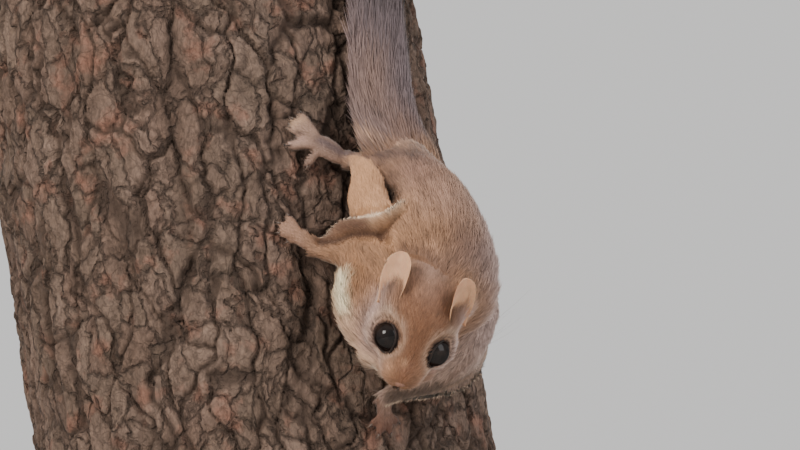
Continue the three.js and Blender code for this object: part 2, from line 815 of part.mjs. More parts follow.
addNode("stand_base", standBase(), baseWood);
addNode("stand_rod_1", standRod(-ROD_SPACING / 2), rodSteel);
addNode("stand_rod_2", standRod(ROD_SPACING / 2), rodSteel);

export default model;
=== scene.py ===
import math

import bmesh
import bpy
import numpy as np
from mathutils import Matrix, Vector, noise
from mathutils.bvhtree import BVHTree


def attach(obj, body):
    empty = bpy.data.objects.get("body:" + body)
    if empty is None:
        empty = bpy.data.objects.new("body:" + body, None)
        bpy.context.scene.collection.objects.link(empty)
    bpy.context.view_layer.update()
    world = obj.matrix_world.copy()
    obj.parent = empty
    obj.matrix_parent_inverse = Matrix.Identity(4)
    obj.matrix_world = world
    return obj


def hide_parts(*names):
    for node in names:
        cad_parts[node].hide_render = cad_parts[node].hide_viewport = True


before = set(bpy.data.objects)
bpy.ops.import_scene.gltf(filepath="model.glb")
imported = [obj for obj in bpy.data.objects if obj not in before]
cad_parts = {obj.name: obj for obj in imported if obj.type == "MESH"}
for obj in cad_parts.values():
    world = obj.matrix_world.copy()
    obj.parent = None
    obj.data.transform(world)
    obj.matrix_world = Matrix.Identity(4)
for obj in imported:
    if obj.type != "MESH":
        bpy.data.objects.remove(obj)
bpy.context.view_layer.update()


# Display base: a round of dark oiled walnut turned on a lathe. Its top edge is rounded over, a fine
# bead runs round the rim, and it stands on its flat sanded underside.
def pick(piece):
    bpy.ops.object.select_all(action="DESELECT")
    piece.select_set(True)
    bpy.context.view_layer.objects.active = piece


def put_in_scene(name, data):
    """A new object that carries this mesh, lamp or lens."""
    holder = bpy.data.objects.new(name, data)
    bpy.context.collection.objects.link(holder)
    return holder


def turned(name, profile, steps):
    """A lathe-turned piece from its (radius, height) outline, which starts and ends on the axis."""
    outline = bpy.data.meshes.new(name)
    ends = [(i, i + 1) for i in range(len(profile) - 1)]
    outline.from_pydata([(r, 0, z) for r, z in profile], ends, [])
    piece = put_in_scene(name, outline)
    pick(piece)
    bpy.ops.object.mode_set(mode="EDIT")
    bpy.ops.mesh.select_all(action="SELECT")
    bpy.ops.mesh.spin(steps=steps, angle=2 * math.pi, center=(0, 0, 0), axis=(0, 0, 1))
    bpy.ops.mesh.select_all(action="SELECT")
    bpy.ops.mesh.remove_doubles(threshold=1e-6)
    bpy.ops.mesh.normals_make_consistent(inside=False)
    bpy.ops.object.mode_set(mode="OBJECT")
    bpy.ops.object.shade_smooth_by_angle(angle=math.radians(35))
    return piece


def tint(red, green, blue):
    """A colour as painters read it, 0 to 255, turned into the linear one that light works with."""
    parts = [c / 255 for c in (red, green, blue)]
    return tuple(c / 12.92 if c <= 0.04045 else ((c + 0.055) / 1.055) ** 2.4 for c in parts) + (1,)


def finish_of(name, roughness=0.6, **sockets):
    made = bpy.data.materials.new(name)
    made.use_nodes = True
    shader = made.node_tree.nodes["Principled BSDF"]
    shader.inputs["Roughness"].default_value = roughness
    for key, value in sockets.items():
        shader.inputs[key.replace("_", " ")].default_value = value
    return made


def put(finish, kind, inputs=None, **settings):
    """A shader node with its inputs set, or linked where the value is another node's socket."""
    tree = finish.node_tree
    made = tree.nodes.new("ShaderNode" + kind)
    for key, value in settings.items():
        setattr(made, key, value)
    for key, value in (inputs or {}).items():
        if isinstance(value, bpy.types.NodeSocket):
            tree.links.new(value, made.inputs[key])
        else:
            made.inputs[key].default_value = value
    return made


def ramp(finish, factor, stops):
    made = put(finish, "ValToRGB", {"Fac": factor})
    band = made.color_ramp
    while len(band.elements) < len(stops):
        band.elements.new(0.5)
    for element, (place, colour) in zip(band.elements, stops):
        element.position = place
        element.color = colour
    return made.outputs["Color"]


def wire(finish, **sockets):
    """Joins node outputs to the finish's own shader sockets."""
    shader = finish.node_tree.nodes["Principled BSDF"]
    for key, socket in sockets.items():
        finish.node_tree.links.new(socket, shader.inputs[key.replace("_", " ")])


def grain(finish, scale, detail=5, stretch=(1, 1, 1), roughness=0.55):
    """Noise that is fixed to the piece, as a factor from 0 to 1."""
    place = put(finish, "TexCoord").outputs["Object"]
    drawn = put(finish, "Mapping", {"Vector": place, "Scale": stretch}).outputs["Vector"]
    settings = {"Vector": drawn, "Scale": scale, "Detail": detail, "Roughness": roughness}
    return put(finish, "TexNoise", settings).outputs["Fac"]


def bump(finish, height, depth, strength=1.0):
    settings = {"Height": height, "Distance": depth, "Strength": strength}
    return put(finish, "Bump", settings).outputs["Normal"]


def blend(finish, share, under, over, kind="MIX"):
    """Two colours mixed by a share, or the first shaded by the second where the kind is MULTIPLY."""
    layers = {"Factor": share, "A": under, "B": over}
    return put(finish, "Mix", layers, data_type="RGBA", blend_type=kind).outputs["Result"]


BASE_RADIUS = 0.078
BASE_HEIGHT = 0.014
EDGE_ROUND = 0.003
BEAD_DEPTH = 0.0009
GROOVE_DEPTH = 0.0007
rounding = [
    (BASE_RADIUS - EDGE_ROUND + EDGE_ROUND * math.cos(a), BASE_HEIGHT - EDGE_ROUND + EDGE_ROUND * math.sin(a))
    for a in np.linspace(0, math.pi / 2, 7)
]
base_outline = [(0, 0), (BASE_RADIUS - 0.001, 0), (BASE_RADIUS, 0.001), (BASE_RADIUS, 0.0052)]
base_outline += [(BASE_RADIUS - BEAD_DEPTH, z) for z in (0.0058, 0.0066)] + [(BASE_RADIUS, 0.0072)]
base_outline += rounding + [(0.0705, BASE_HEIGHT), (0.0698, BASE_HEIGHT - GROOVE_DEPTH)]
base_outline += [(0.0688, BASE_HEIGHT - GROOVE_DEPTH), (0.0681, BASE_HEIGHT)]
base_outline += [(0.03, BASE_HEIGHT), (0, BASE_HEIGHT)]
display_base = turned("display_base", base_outline, 128)

walnut = finish_of("oiled_walnut", 0.38, Specular_IOR_Level=0.45)
figure = grain(walnut, 26, 6, (0.35, 5, 5), 0.6)
pores = grain(walnut, 160, 3, (0.12, 6, 6), 0.7)
walnut_colour = ramp(walnut, figure, [
    (0.3, tint(58, 34, 20)),
    (0.47, tint(88, 54, 33)),
    (0.56, tint(104, 66, 42)),
    (0.7, tint(72, 43, 26)),
])
pore_shade = ramp(walnut, pores, [(0.36, (0.35, 0.33, 0.32, 1)), (0.48, (1, 1, 1, 1))])
wire(walnut, Base_Color=blend(walnut, 0.55, walnut_colour, pore_shade, "MULTIPLY"))
wire(walnut, Roughness=ramp(walnut, pores, [(0.3, (0.6, 0.6, 0.6, 1)), (0.6, (0.34, 0.34, 0.34, 1))]))
wire(walnut, Normal=bump(walnut, pores, 0.0003, 0.35))
display_base.data.materials.append(walnut)
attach(display_base, "root")
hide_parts("stand_base")


# Display rods: two round bars of brushed stainless steel. A turned collar seats each on the base,
# and its flat upper end carries the sawn foot of the trunk.
TRUNK_FOOT = 0.050
TRUNK_HEAD = 0.276
FIT_GAP = 0.0003
ROD_BOTTOM = BASE_HEIGHT + FIT_GAP
ROD_TOP = TRUNK_FOOT - FIT_GAP
ROD_RADIUS = 0.005
ROD_SPREAD = 0.030  # of each rod from the axis of the trunk
COLLAR_RADIUS = 0.010
COLLAR_HEIGHT = 0.004
brushed_steel = finish_of("brushed_steel", 0.32, Metallic=1.0)
strokes = grain(brushed_steel, 420, 4, (1, 1, 0.04), 0.6)
smudges = grain(brushed_steel, 45, 3)
wire(brushed_steel, Base_Color=ramp(brushed_steel, strokes, [
    (0.3, (0.42, 0.42, 0.43, 1)),
    (0.7, (0.62, 0.62, 0.63, 1)),
]))
wire(brushed_steel, Roughness=ramp(brushed_steel, smudges, [
    (0.35, (0.26, 0.26, 0.26, 1)),
    (0.65, (0.42, 0.42, 0.42, 1)),
]))
wire(brushed_steel, Normal=bump(brushed_steel, strokes, 0.00006, 0.5))

for number, x in ((1, -ROD_SPREAD), (2, ROD_SPREAD)):
    collar_top = ROD_BOTTOM + COLLAR_HEIGHT
    rod_outline = [(0, ROD_BOTTOM), (COLLAR_RADIUS - 0.0004, ROD_BOTTOM)]
    rod_outline += [(COLLAR_RADIUS, ROD_BOTTOM + up) for up in (0.0004, 0.0018)]
    rod_outline += [(0.0094, ROD_BOTTOM + 0.0030)]
    rod_outline += [(0.0080, collar_top - 0.0003), (0.0066, collar_top), (0.0052, collar_top)]
    rod_outline += [(ROD_RADIUS, collar_top + 0.0003), (ROD_RADIUS, ROD_TOP - 0.0005)]
    rod_outline += [(ROD_RADIUS - 0.0005, ROD_TOP), (0, ROD_TOP)]
    rod = turned(f"display_rod_{number}", rod_outline, 48)
    rod.data.transform(Matrix.Translation((x, 0, 0)))
    rod.data.materials.append(brushed_steel)
    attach(rod, "root")
    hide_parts(f"stand_rod_{number}")


# Perch: a cut length of conifer trunk. Its flaking bark is split into long irregular plates with
# dark furrows, over the plates and furrows of the solid, in two half shells that meet edge to edge.
BARK_RADIUS = 0.080
BARK_STEPS = 352  # round half of the trunk
BARK_LEVELS = 264
BARK_JOINT = math.radians(41)  # round from -Y towards +X, behind the animal
noise.seed_set(20)  # the noise that moves the plates about is the same at every run
PLATE_WIDTH, PLATE_HEIGHT = 0.0125, 0.036
CHIP_WIDTH, CHIP_HEIGHT = 0.0050, 0.0078


def mesh_piece(name, points, faces):
    made = bpy.data.meshes.new(name)
    made.from_pydata(points, [], faces)
    made.update()
    return put_in_scene(name, made)


def solid_tree(name):
    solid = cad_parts[name].data
    corners = [v.co.copy() for v in solid.vertices]
    return BVHTree.FromPolygons(corners, [tuple(p.vertices) for p in solid.polygons])


def paint_points(piece, name, colours):
    layer = piece.data.color_attributes.new(name, "FLOAT_COLOR", "POINT")
    layer.data.foreach_set("color", np.asarray(colours, np.float32).ravel())


trunk_tree = solid_tree("perch_trunk")


def bark_reach(turn, height):
    """How far the solid's bark lies from the trunk's axis."""
    away = Vector((math.sin(turn), -math.cos(turn), 0))
    held = min(max(height, TRUNK_FOOT + 0.0004), TRUNK_HEAD - 0.0004)
    start = away * 0.12
    start.z = held
    found = trunk_tree.ray_cast(start, -away)[0]
    return math.hypot(found.x, found.y)


def bark_relief(p):
    """The bark's own relief at a place on the trunk, and how deep in a furrow it lies there."""
    q = p + noise.noise_vector(p * 45) * 0.006 + noise.noise_vector(p * 150) * 0.0022
    q += noise.noise_vector(p * 420) * 0.0007
    gaps, middles = noise.voronoi(Vector((q.x / PLATE_WIDTH, q.y / PLATE_WIDTH, q.z / PLATE_HEIGHT)))
    furrow = math.exp(-(((gaps[1] - gaps[0]) / 0.075) ** 2))
    plate = noise.cell(middles[0] * 3.1)
    tilt = (q.z / PLATE_HEIGHT - middles[0].z) * (0.4 + 0.6 * noise.cell(middles[0] * 7.7))
    gaps, middles = noise.voronoi(Vector((q.x / CHIP_WIDTH, q.y / CHIP_WIDTH, q.z / CHIP_HEIGHT)))
    seam = math.exp(-(((gaps[1] - gaps[0]) / 0.12) ** 2))
    chip = noise.cell(middles[0] * 5.3)
    rough = noise.fractal(p * 380, 0.9, 2.1, 4)
    lift = 0.0007 * plate - 0.0006 * tilt + 0.0006 * chip + 0.00025 * rough
    depth = -0.0006 + lift - 0.0019 * furrow - 0.0004 * seam * (1 - furrow)
    return min(depth, 0.0004), furrow


steps_all = 2 * BARK_STEPS
reach_grid = np.zeros((BARK_LEVELS + 1, steps_all))
relief_grid = np.zeros((BARK_LEVELS + 1, steps_all, 2))
for level in range(BARK_LEVELS + 1):
    height = TRUNK_FOOT + (TRUNK_HEAD - TRUNK_FOOT) * level / BARK_LEVELS
    for step in range(steps_all):
        turn = BARK_JOINT + 2 * math.pi * step / steps_all
        reach_grid[level, step] = bark_reach(turn, height)
        surface = Vector((BARK_RADIUS * math.sin(turn), -BARK_RADIUS * math.cos(turn), height))
        relief_grid[level, step] = bark_relief(surface)
for _ in range(3):
    upper = np.vstack([reach_grid[1:], reach_grid[-1:]])
    lower = np.vstack([reach_grid[:1], reach_grid[:-1]])
    beside = np.roll(reach_grid, 1, 1) + np.roll(reach_grid, -1, 1)
    reach_grid = 0.4 * reach_grid + 0.15 * (upper + lower + beside)
solid_furrow = np.clip((BARK_RADIUS - FIT_GAP - reach_grid) / 0.0025, 0, 1)
radius_grid = reach_grid + relief_grid[:, :, 0]

bark_turns = BARK_JOINT + 2 * np.pi * np.arange(steps_all) / steps_all
bark_heights = np.linspace(TRUNK_FOOT, TRUNK_HEAD, BARK_LEVELS + 1)

bark = finish_of("flaking_bark", 0.92, Specular_IOR_Level=0.2)
bark_marks = put(bark, "Attribute", attribute_name="Bark").outputs["Color"]
furrow_mark = put(bark, "SeparateColor", {"Color": bark_marks}).outputs["Red"]


def shifted(place, scale, amount):
    """The place moved about by noise, so that cells and cracks come out ragged."""
    drift = put(bark, "TexNoise", {"Vector": place, "Scale": scale, "Detail": 4.0}).outputs["Color"]
    even = put(bark, "VectorMath", {0: drift, 1: (0.5, 0.5, 0.5)}, operation="SUBTRACT").outputs["Vector"]
    moved = put(bark, "VectorMath", {0: even, "Scale": amount}, operation="SCALE").outputs["Vector"]
    return put(bark, "VectorMath", {0: place, 1: moved}, operation="ADD").outputs["Vector"]


bark_place = put(bark, "TexCoord").outputs["Object"]
ragged = shifted(shifted(bark_place, 60.0, 0.016), 300.0, 0.004)
upright = put(bark, "Mapping", {"Vector": ragged, "Scale": (1, 1, 0.55)}).outputs["Vector"]
flake_cells = {"Vector": upright, "Scale": 105.0, "Randomness": 1.0}
flake_edge = put(bark, "TexVoronoi", flake_cells, feature="DISTANCE_TO_EDGE").outputs["Distance"]
flake_tone = put(bark, "TexVoronoi", flake_cells, feature="F1").outputs["Color"]
scale_cells = {"Vector": upright, "Scale": 290.0, "Randomness": 1.0}
scale_edge = put(bark, "TexVoronoi", scale_cells, feature="DISTANCE_TO_EDGE").outputs["Distance"]
crack_share = ramp(bark, flake_edge, [
    (0.0, (0, 0, 0, 1)),
    (0.035, (0.45, 0.45, 0.45, 1)),
    (0.09, (1, 1, 1, 1)),
])
scale_share = ramp(bark, scale_edge, [(0.0, (0.3, 0.3, 0.3, 1)), (0.1, (1, 1, 1, 1))])
tone_share = put(bark, "SeparateColor", {"Color": flake_tone}).outputs["Green"]
bark_tone = ramp(bark, tone_share, [
    (0.0, tint(86, 71, 61)),
    (0.3, tint(102, 84, 74)),
    (0.55, tint(94, 74, 64)),
    (0.8, tint(111, 93, 82)),
    (1.0, tint(92, 77, 67)),
])
weather = ramp(bark, grain(bark, 38, 5), [(0.38, tint(84, 70, 60)), (0.62, tint(120, 100, 89))])
rusty = ramp(bark, grain(bark, 90, 5), [(0.54, (0, 0, 0, 1)), (0.68, (0.75, 0.75, 0.75, 1))])
bark_coat = blend(bark, rusty, blend(bark, 0.45, bark_tone, weather), tint(124, 88, 74))
speck = ramp(bark, grain(bark, 640, 6, (1, 1, 0.55), 0.72), [
    (0.3, (0.56, 0.55, 0.54, 1)),
    (0.52, (1.02, 1.02, 1.02, 1)),
    (0.72, (1.5, 1.47, 1.42, 1)),
])
for shade, strength in ((speck, 1.0), (scale_share, 0.35), (crack_share, 0.55)):
    bark_coat = blend(bark, strength, bark_coat, shade, "MULTIPLY")
furrow_share = ramp(bark, furrow_mark, [(0.25, (0, 0, 0, 1)), (0.95, (0.8, 0.8, 0.8, 1))])
wire(bark, Base_Color=blend(bark, furrow_share, bark_coat, tint(62, 50, 43)))
fine_bump = bump(bark, grain(bark, 1000, 7, (1, 1, 0.6), 0.7), 0.0008, 0.9)
scale_bump = put(bark, "Bump", {"Height": scale_share, "Distance": 0.0005, "Strength": 0.6,
                                "Normal": fine_bump}).outputs["Normal"]
crack_bump = put(bark, "Bump", {"Height": crack_share, "Distance": 0.0011, "Strength": 0.8,
                                "Normal": scale_bump}).outputs["Normal"]
wire(bark, Normal=crack_bump)

for half, name in ((0, "bark_left"), (1, "bark_right")):
    columns = [(half * BARK_STEPS + i) % steps_all for i in range(BARK_STEPS + 1)]
    reach = radius_grid[:, columns]
    turns = bark_turns[columns]
    shell = np.stack([
        reach * np.sin(turns),
        -reach * np.cos(turns),
        np.repeat(bark_heights[:, None], len(columns), 1),
    ], -1)
    across = BARK_STEPS + 1
    corner = np.arange(BARK_LEVELS)[:, None] * across + np.arange(BARK_STEPS)[None, :]
    quads = np.stack([corner, corner + 1, corner + across + 1, corner + across], -1)
    half_shell = mesh_piece(name, shell.reshape(-1, 3).tolist(), quads.reshape(-1, 4).tolist())
    crack = np.clip(relief_grid[:, columns, 1] + 0.6 * solid_furrow[:, columns], 0, 1)
    paint_points(half_shell, "Bark", np.stack([crack, crack, crack, np.ones_like(crack)], -1))
    half_shell.data.shade_smooth()
    half_shell.data.materials.append(bark)
    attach(half_shell, "root")
    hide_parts("perch_trunk")


# Sawn ends of the perch: two flat discs of pale softwood with growth rings, saw marks and a few
# drying checks, whose rims follow the bark.
end_points = []
end_faces = []
END_RINGS = 22
CHECK_DEPTH = 0.0006
YEARS_TO_THE_METRE = 440.0
for height, level, upwards in ((TRUNK_FOOT, 0, False), (TRUNK_HEAD, BARK_LEVELS, True)):
    first = len(end_points)
    end_points.append((0, 0, height))
    for ring_number in range(1, END_RINGS + 1):
        share = ring_number / END_RINGS
        for step in range(0, steps_all, 2):
            turn = bark_turns[step]
            reach = share * radius_grid[level, step]
            check = max(0, 1 - abs(math.sin(2.5 * turn + 0.4)) / 0.02) * (0.25 < share < 0.93)
            sunk = CHECK_DEPTH * check * (-1 if upwards else 1)
            end_points.append((reach * math.sin(turn), -reach * math.cos(turn), height + sunk))
    for step in range(BARK_STEPS):
        after = (step + 1) % BARK_STEPS
        fan = (first, first + 1 + step, first + 1 + after)
        end_faces.append(fan if upwards else fan[::-1])
        for ring_number in range(END_RINGS - 1):
            inner = first + 1 + ring_number * BARK_STEPS
            outer = inner + BARK_STEPS
            face = (inner + step, outer + step, outer + after, inner + after)
            end_faces.append(face if upwards else face[::-1])
sawn_ends = mesh_piece("sawn_ends", end_points, end_faces)

softwood = finish_of("sawn_softwood", 0.8, Specular_IOR_Level=0.2)
place = put(softwood, "TexCoord").outputs["Object"]
flat_place = put(softwood, "Mapping", {"Vector": place, "Scale": (1, 1, 0)}).outputs["Vector"]
wobble = put(softwood, "TexNoise", {"Vector": flat_place, "Scale": 18.0, "Detail": 3.0}).outputs["Fac"]
from_pith = put(softwood, "VectorMath", {0: flat_place}, operation="LENGTH").outputs["Value"]
wavy = put(softwood, "Math", {0: wobble, 1: 0.008, 2: from_pith}, operation="MULTIPLY_ADD").outputs["Value"]
yearly = put(softwood, "Math", {0: wavy, 1: YEARS_TO_THE_METRE}, operation="MULTIPLY").outputs["Value"]
year = put(softwood, "Math", {0: yearly}, operation="FRACT").outputs["Value"]
ring_colour = ramp(softwood, year, [
    (0.0, tint(206, 172, 128)),
    (0.6, tint(190, 150, 104)),
    (0.88, tint(146, 102, 66)),
    (1.0, tint(204, 170, 126)),
])
heart = ramp(softwood, from_pith, [(0.0, tint(150, 110, 80)), (0.045, (1, 1, 1, 1)),
                                   (0.0735, (0.95, 0.93, 0.9, 1)), (0.0755, tint(120, 84, 62))])
wire(softwood, Base_Color=blend(softwood, 0.8, ring_colour, heart, "MULTIPLY"))
saw_marks = grain(softwood, 300, 3, (0.05, 1, 1))
wire(softwood, Normal=bump(softwood, saw_marks, 0.0004, 0.5))
sawn_ends.data.materials.append(softwood)
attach(sawn_ends, "root")
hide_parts("perch_trunk")


# Body skin: one unbroken hide over the whole animal, from nose to tail, under the fur. It is fused
# from the shapes of the solids, drawn in by the depth of the coat, and shaped round the muzzle.
MID_BODY = 0.145  # the height of the middle of the body


def by_trunk(around, out, up):
    """A place beside the trunk: degrees round it, and mm out from the bark and above mid body."""
    a = math.radians(around)
    reach = BARK_RADIUS + out / 1000
    return Vector((reach * math.sin(a), -reach * math.cos(a), MID_BODY + up / 1000))


NOSEWARDS = Vector((-0.357, -0.335, -0.872)).normalized()
CROWNWARDS = Vector((0.357, -0.912, 0.204))
CROWNWARDS = (CROWNWARDS - NOSEWARDS * CROWNWARDS.dot(NOSEWARDS)).normalized()
RIGHTWARDS = NOSEWARDS.cross(CROWNWARDS)
HEAD_MIDDLE = by_trunk(31.9, 32.05, -29.65)


def in_head(ahead, right, up):
    """A place in the head, in mm ahead of its middle, to the animal's right and crownwards."""
    away = NOSEWARDS * ahead + RIGHTWARDS * right + CROWNWARDS * up
    return HEAD_MIDDLE + away / 1000


EYE_RADIUS = 0.0048  # lengths are in metres, and those told by round, out and up or in the head in mm
EYES = {"right": in_head(8, 7.4, 1.2), "left": in_head(8, -7.4, 1.2)}
SIDES = (("right", 1), ("left", -1))


def look_of(side):
    return (RIGHTWARDS * 0.8 * side + CROWNWARDS * 0.4 + NOSEWARDS * 0.38).normalized()


# The coat on each part of the body: skin depth under the solid, hair length and width in mm, hairs
# to the square mm, lift in degrees, and the line that the hair follows, from root to tip.
COATS = {
    "torso": (1.6, 5.6, 0.36, 6.5, 15, [
        (38, 30, -34), (40, 35, -20), (41, 37, -8), (41, 34, 4), (42, 28, 14), (44, 20, 22), (46, 13, 30)]),
    "neck": (1.4, 4.6, 0.34, 7.5, 15, [
        (30, 30, -42), (27, 24, -30), (28, 24, -16), (33, 32, -6), (40, 36, -2)]),
    "head": (0.7, 2.3, 0.25, 16, 14, []),  # it runs back from the nose all round
    "foreleg_right": (1.1, 3.4, 0.3, 9, 13, [
        (39, 32, -19), (31.5, 24, -9), (27.5, 14, -3.5), (24, 8, 0), (21, 6, 2)]),
    "foreleg_left": (1.1, 3.4, 0.3, 8, 13, [
        (47, 25, -15), (48.5, 21, -28), (46.5, 16, -39.5), (39, 9.5, -45.5), (31.6, 4.7, -50)]),
    "hindleg_right": (0.9, 2.8, 0.28, 9, 12, [
        (43, 24, 12), (39.6, 18, 20.5), (37.8, 13, 24.2), (35.6, 7.6, 26.4), (32, 4.6, 29)]),
    "hindleg_left": (0.9, 2.8, 0.28, 8, 12, [
        (43.5, 18.5, 14), (53, 14.5, 3.5), (59, 10, 6.5), (62.5, 6, 9.8), (65, 4.6, 12)]),
    "forefoot_right": (0.25, 1.5, 0.22, 12, 16, [(22.5, 5, 0), (19.4, 3.4, 5), (16, 3, 9.5)]),
    "forefoot_left": (0.25, 1.5, 0.22, 11, 16, [(31.6, 4.7, -49), (32.4, 3.2, -54.2), (32.5, 3, -61)]),
    "hindfoot_right": (0.25, 1.7, 0.24, 12, 17, [(34, 5, 27.5), (27.8, 3.6, 34), (22, 3, 38.5)]),
    "hindfoot_left": (0.25, 1.7, 0.24, 10, 17, [(65, 4.6, 12), (71.4, 3.4, 6), (77, 3, 3)]),
    "membrane_right": (0.7, 2.6, 0.28, 9, 10, [
        (31.6, 19, -3), (31.6, 19, 6), (31, 19, 14), (31.5, 18, 20), (32.4, 12, 26)]),
    "membrane_left": (0.8, 3.2, 0.3, 8, 10, [
        (47, 15, -50), (52, 18, -30), (54, 18, -14), (58, 15, -2), (63, 10, 8)]),
    "tail": (0.1, 6, 0.4, 2.2, 9, [
        (45.2, 13, 19), (44.8, 10.5, 27), (44.2, 8.2, 36), (44.4, 6.8, 46), (45.8, 6.2, 58), (48, 6, 76),
        (50, 6, 94), (51.5, 6.4, 108)]),
}
REGIONS = list(COATS)
FEET = [name for name in REGIONS if "foot" in name]

# Where membranes hang, the hair runs off the animal towards the loose rim: (region, from, to).
EXTRA_LIES = [
    ("membrane_right", (30, 27, -4), (30, 25, 6.5)),
    ("membrane_right", (27, 18, -3), (26.5, 16, 7)),
    ("membrane_right", (24.5, 9, -1), (23.8, 5.5, 4)),
    ("foreleg_right", (25, 15, -4), (24.8, 15, 1)),
    ("foreleg_right", (28, 22, -6), (27.6, 22, 0)),
    ("membrane_left", (42, 12, -45), (40, 10, -52)),
    ("membrane_left", (37, 9, -46), (34, 7, -52)),
    ("membrane_left", (48, 15, -43), (49, 14, -50)),
    ("membrane_left", (51, 18, -26), (59, 15, -22)),
    ("membrane_left", (52, 18, -8), (62, 12, -3)),
]

tail_turns = [by_trunk(*s) for s in COATS["tail"][5]]


def along_tail(share):
    """The middle of the tail at a share of its length, and the way that it runs there."""
    place = share * (len(tail_turns) - 1)
    i = min(int(place), len(tail_turns) - 2)
    t = place - i
    before = tail_turns[max(i - 1, 0)]
    start, end = tail_turns[i], tail_turns[i + 1]
    after = tail_turns[min(i + 2, len(tail_turns) - 1)]
    lean_in = (end - before) / 2
    lean_out = (after - start) / 2
    here = ((2 * t**3 - 3 * t**2 + 1) * start + (t**3 - 2 * t**2 + t) * lean_in
            + (3 * t**2 - 2 * t**3) * end + (t**3 - t**2) * lean_out)
    run = ((6 * t**2 - 6 * t) * start + (3 * t**2 - 4 * t + 1) * lean_in
           + (6 * t - 6 * t**2) * end + (3 * t**2 - 2 * t) * lean_out)
    return here, run.normalized()


def narrowing(share):
    """What is left of the tail's width at a share of its length."""
    return 1 - 0.38 * share**1.2


TAIL_HALF = 0.0165
CORE_SHARE = 0.55  # of the tail's width, under its long hair


def loft_into(flesh, sections):
    """A closed form through a row of like rings of points."""
    rings = [[flesh.verts.new(p) for p in ring] for ring in sections]
    around = len(rings[0])
    for low, high in zip(rings, rings[1:]):
        for i in range(around):
            after = (i + 1) % around
            flesh.faces.new((low[i], low[after], high[after], high[i]))
    flesh.faces.new(rings[0][::-1])
    flesh.faces.new(rings[-1])


# The copies are swelled before they are fused, which fills the clefts between them, and the skin is
# drawn back by as much, all but the least swell.
LEAST_SWELL = 0.00028
SWELL = {name: 0.0011 for name in REGIONS}
SWELL.update({name: LEAST_SWELL for name in FEET})
SWELL.update({"head": 0.0008, "membrane_right": 0.0006, "membrane_left": 0.0008, "tail": 0.0})
SWELL.update({"eye_right": 0.0003, "eye_left": 0.0003})
HIDE_GRAIN = 0.00056  # size of the cells in which the shapes are fused

flesh = bmesh.new()
for name in REGIONS[:-1] + ["eye_right", "eye_left"]:
    part = bmesh.new()
    part.from_mesh(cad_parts[name].data)
    bmesh.ops.remove_doubles(part, verts=part.verts, dist=1e-6)
    part.normal_update()
    for corner in part.verts:
        corner.co += corner.normal * SWELL[name]
    passing = bpy.data.meshes.new("passing")
    part.to_mesh(passing)
    part.free()
    flesh.from_mesh(passing)
    bpy.data.meshes.remove(passing)

tail_rings = []
for share in np.linspace(0, 1, 26).tolist():
    middle, run = along_tail(share)
    outwards = Vector((middle.x, middle.y, 0)).normalized()
    outwards = (outwards - run * outwards.dot(run)).normalized()
    sideways = outwards.cross(run)
    thin = 1 - 2.4 * max(0, share - 0.85)
    wide = CORE_SHARE * (TAIL_HALF * narrowing(share)) * thin
    deep = 0.0045 * (1 - 0.3 * share) * thin
    tail_rings.append([
        middle + sideways * wide * math.cos(a) + outwards * deep * math.sin(a)
        for a in np.linspace(0, 2 * math.pi, 20, endpoint=False).tolist()
    ])
loft_into(flesh, tail_rings)

# Each foot's palm, and its toes by where their tips lie on the bark, round and up, and how plump.
TOES = {
    "forefoot_right": ((19.6, 3.4, 5.2), [
        (17.4, 4.6, 1), (15.7, 7.2, 1), (15.9, 10, 1), (18, 11.8, 0.95)]),
    "forefoot_left": ((32.4, 3.2, -54.2), [
        (29.6, -57, 0.95), (30.6, -60.2, 1), (33.4, -60.4, 1), (35.6, -57.6, 0.95)]),
    "hindfoot_right": ((27.8, 3.6, 34), [
        (24.8, 28.8, 0.95), (21.8, 35.3, 1.3), (22.2, 40.6, 1.1), (23.2, 43, 1.05), (25.2, 44.6, 1)]),
    "hindfoot_left": ((71.4, 3.4, 6), [
        (75.4, 11.2, 1), (77.6, 7.6, 1.1), (77.8, 3, 1.1), (75.8, -1, 1.1), (72.8, -3.8, 1)]),
}
for palm_spot, tips in TOES.values():
    palm = by_trunk(*palm_spot)
    for around, up, plump in tips:
        tip = by_trunk(around, 1.2, up)
        for share, size in ((0.98, 0.0015), (0.62, 0.0014)):
            rise = Vector((tip.x, tip.y, 0)).normalized() * 0.0008 * math.sin(math.pi * share)
            joint_place = Matrix.Translation(palm.lerp(tip, share) + rise)
            bmesh.ops.create_icosphere(flesh, subdivisions=2, radius=size * plump, matrix=joint_place)

# Pads of flesh fill the pit where the left thigh, flank and membrane meet, and round out the jaw
# and the throat under both cheeks.
PADS = [(by_trunk(52, 15.8, -5.5), 0.0046)]
PADS += [(in_head(13.5, right, -9.5), 0.0050) for right in (4, -4)]
PADS += [(in_head(9, right, -13), 0.0066) for right in (7, -7)]
for middle, radius in PADS:
    bmesh.ops.create_icosphere(flesh, subdivisions=3, radius=radius, matrix=Matrix.Translation(middle))

fused = bpy.data.meshes.new("squirrel_skin")
flesh.to_mesh(fused)
flesh.free()
skin = put_in_scene("squirrel_skin", fused)
pick(skin)
fusing = skin.modifiers.new("fusing", "REMESH")
fusing.mode = "VOXEL"
fusing.voxel_size = HIDE_GRAIN
bpy.ops.object.modifier_apply(modifier="fusing")

# The hollows that the fusing closed off inside are taken out: only the largest body is the hide.
hide = bmesh.new()
hide.from_mesh(skin.data)
hide.verts.ensure_lookup_table()
unseen = set(hide.verts)
bodies = []
while unseen:
    body = set()
    waiting = [unseen.pop()]
    while waiting:
        corner = waiting.pop()
        body.add(corner)
        for edge in corner.link_edges:
            other = edge.other_vert(corner)
            if other in unseen:
                unseen.discard(other)
                waiting.append(other)
    bodies.append(body)
bodies.sort(key=len)
for body in bodies[:-1]:
    bmesh.ops.delete(hide, geom=list(body), context="VERTS")

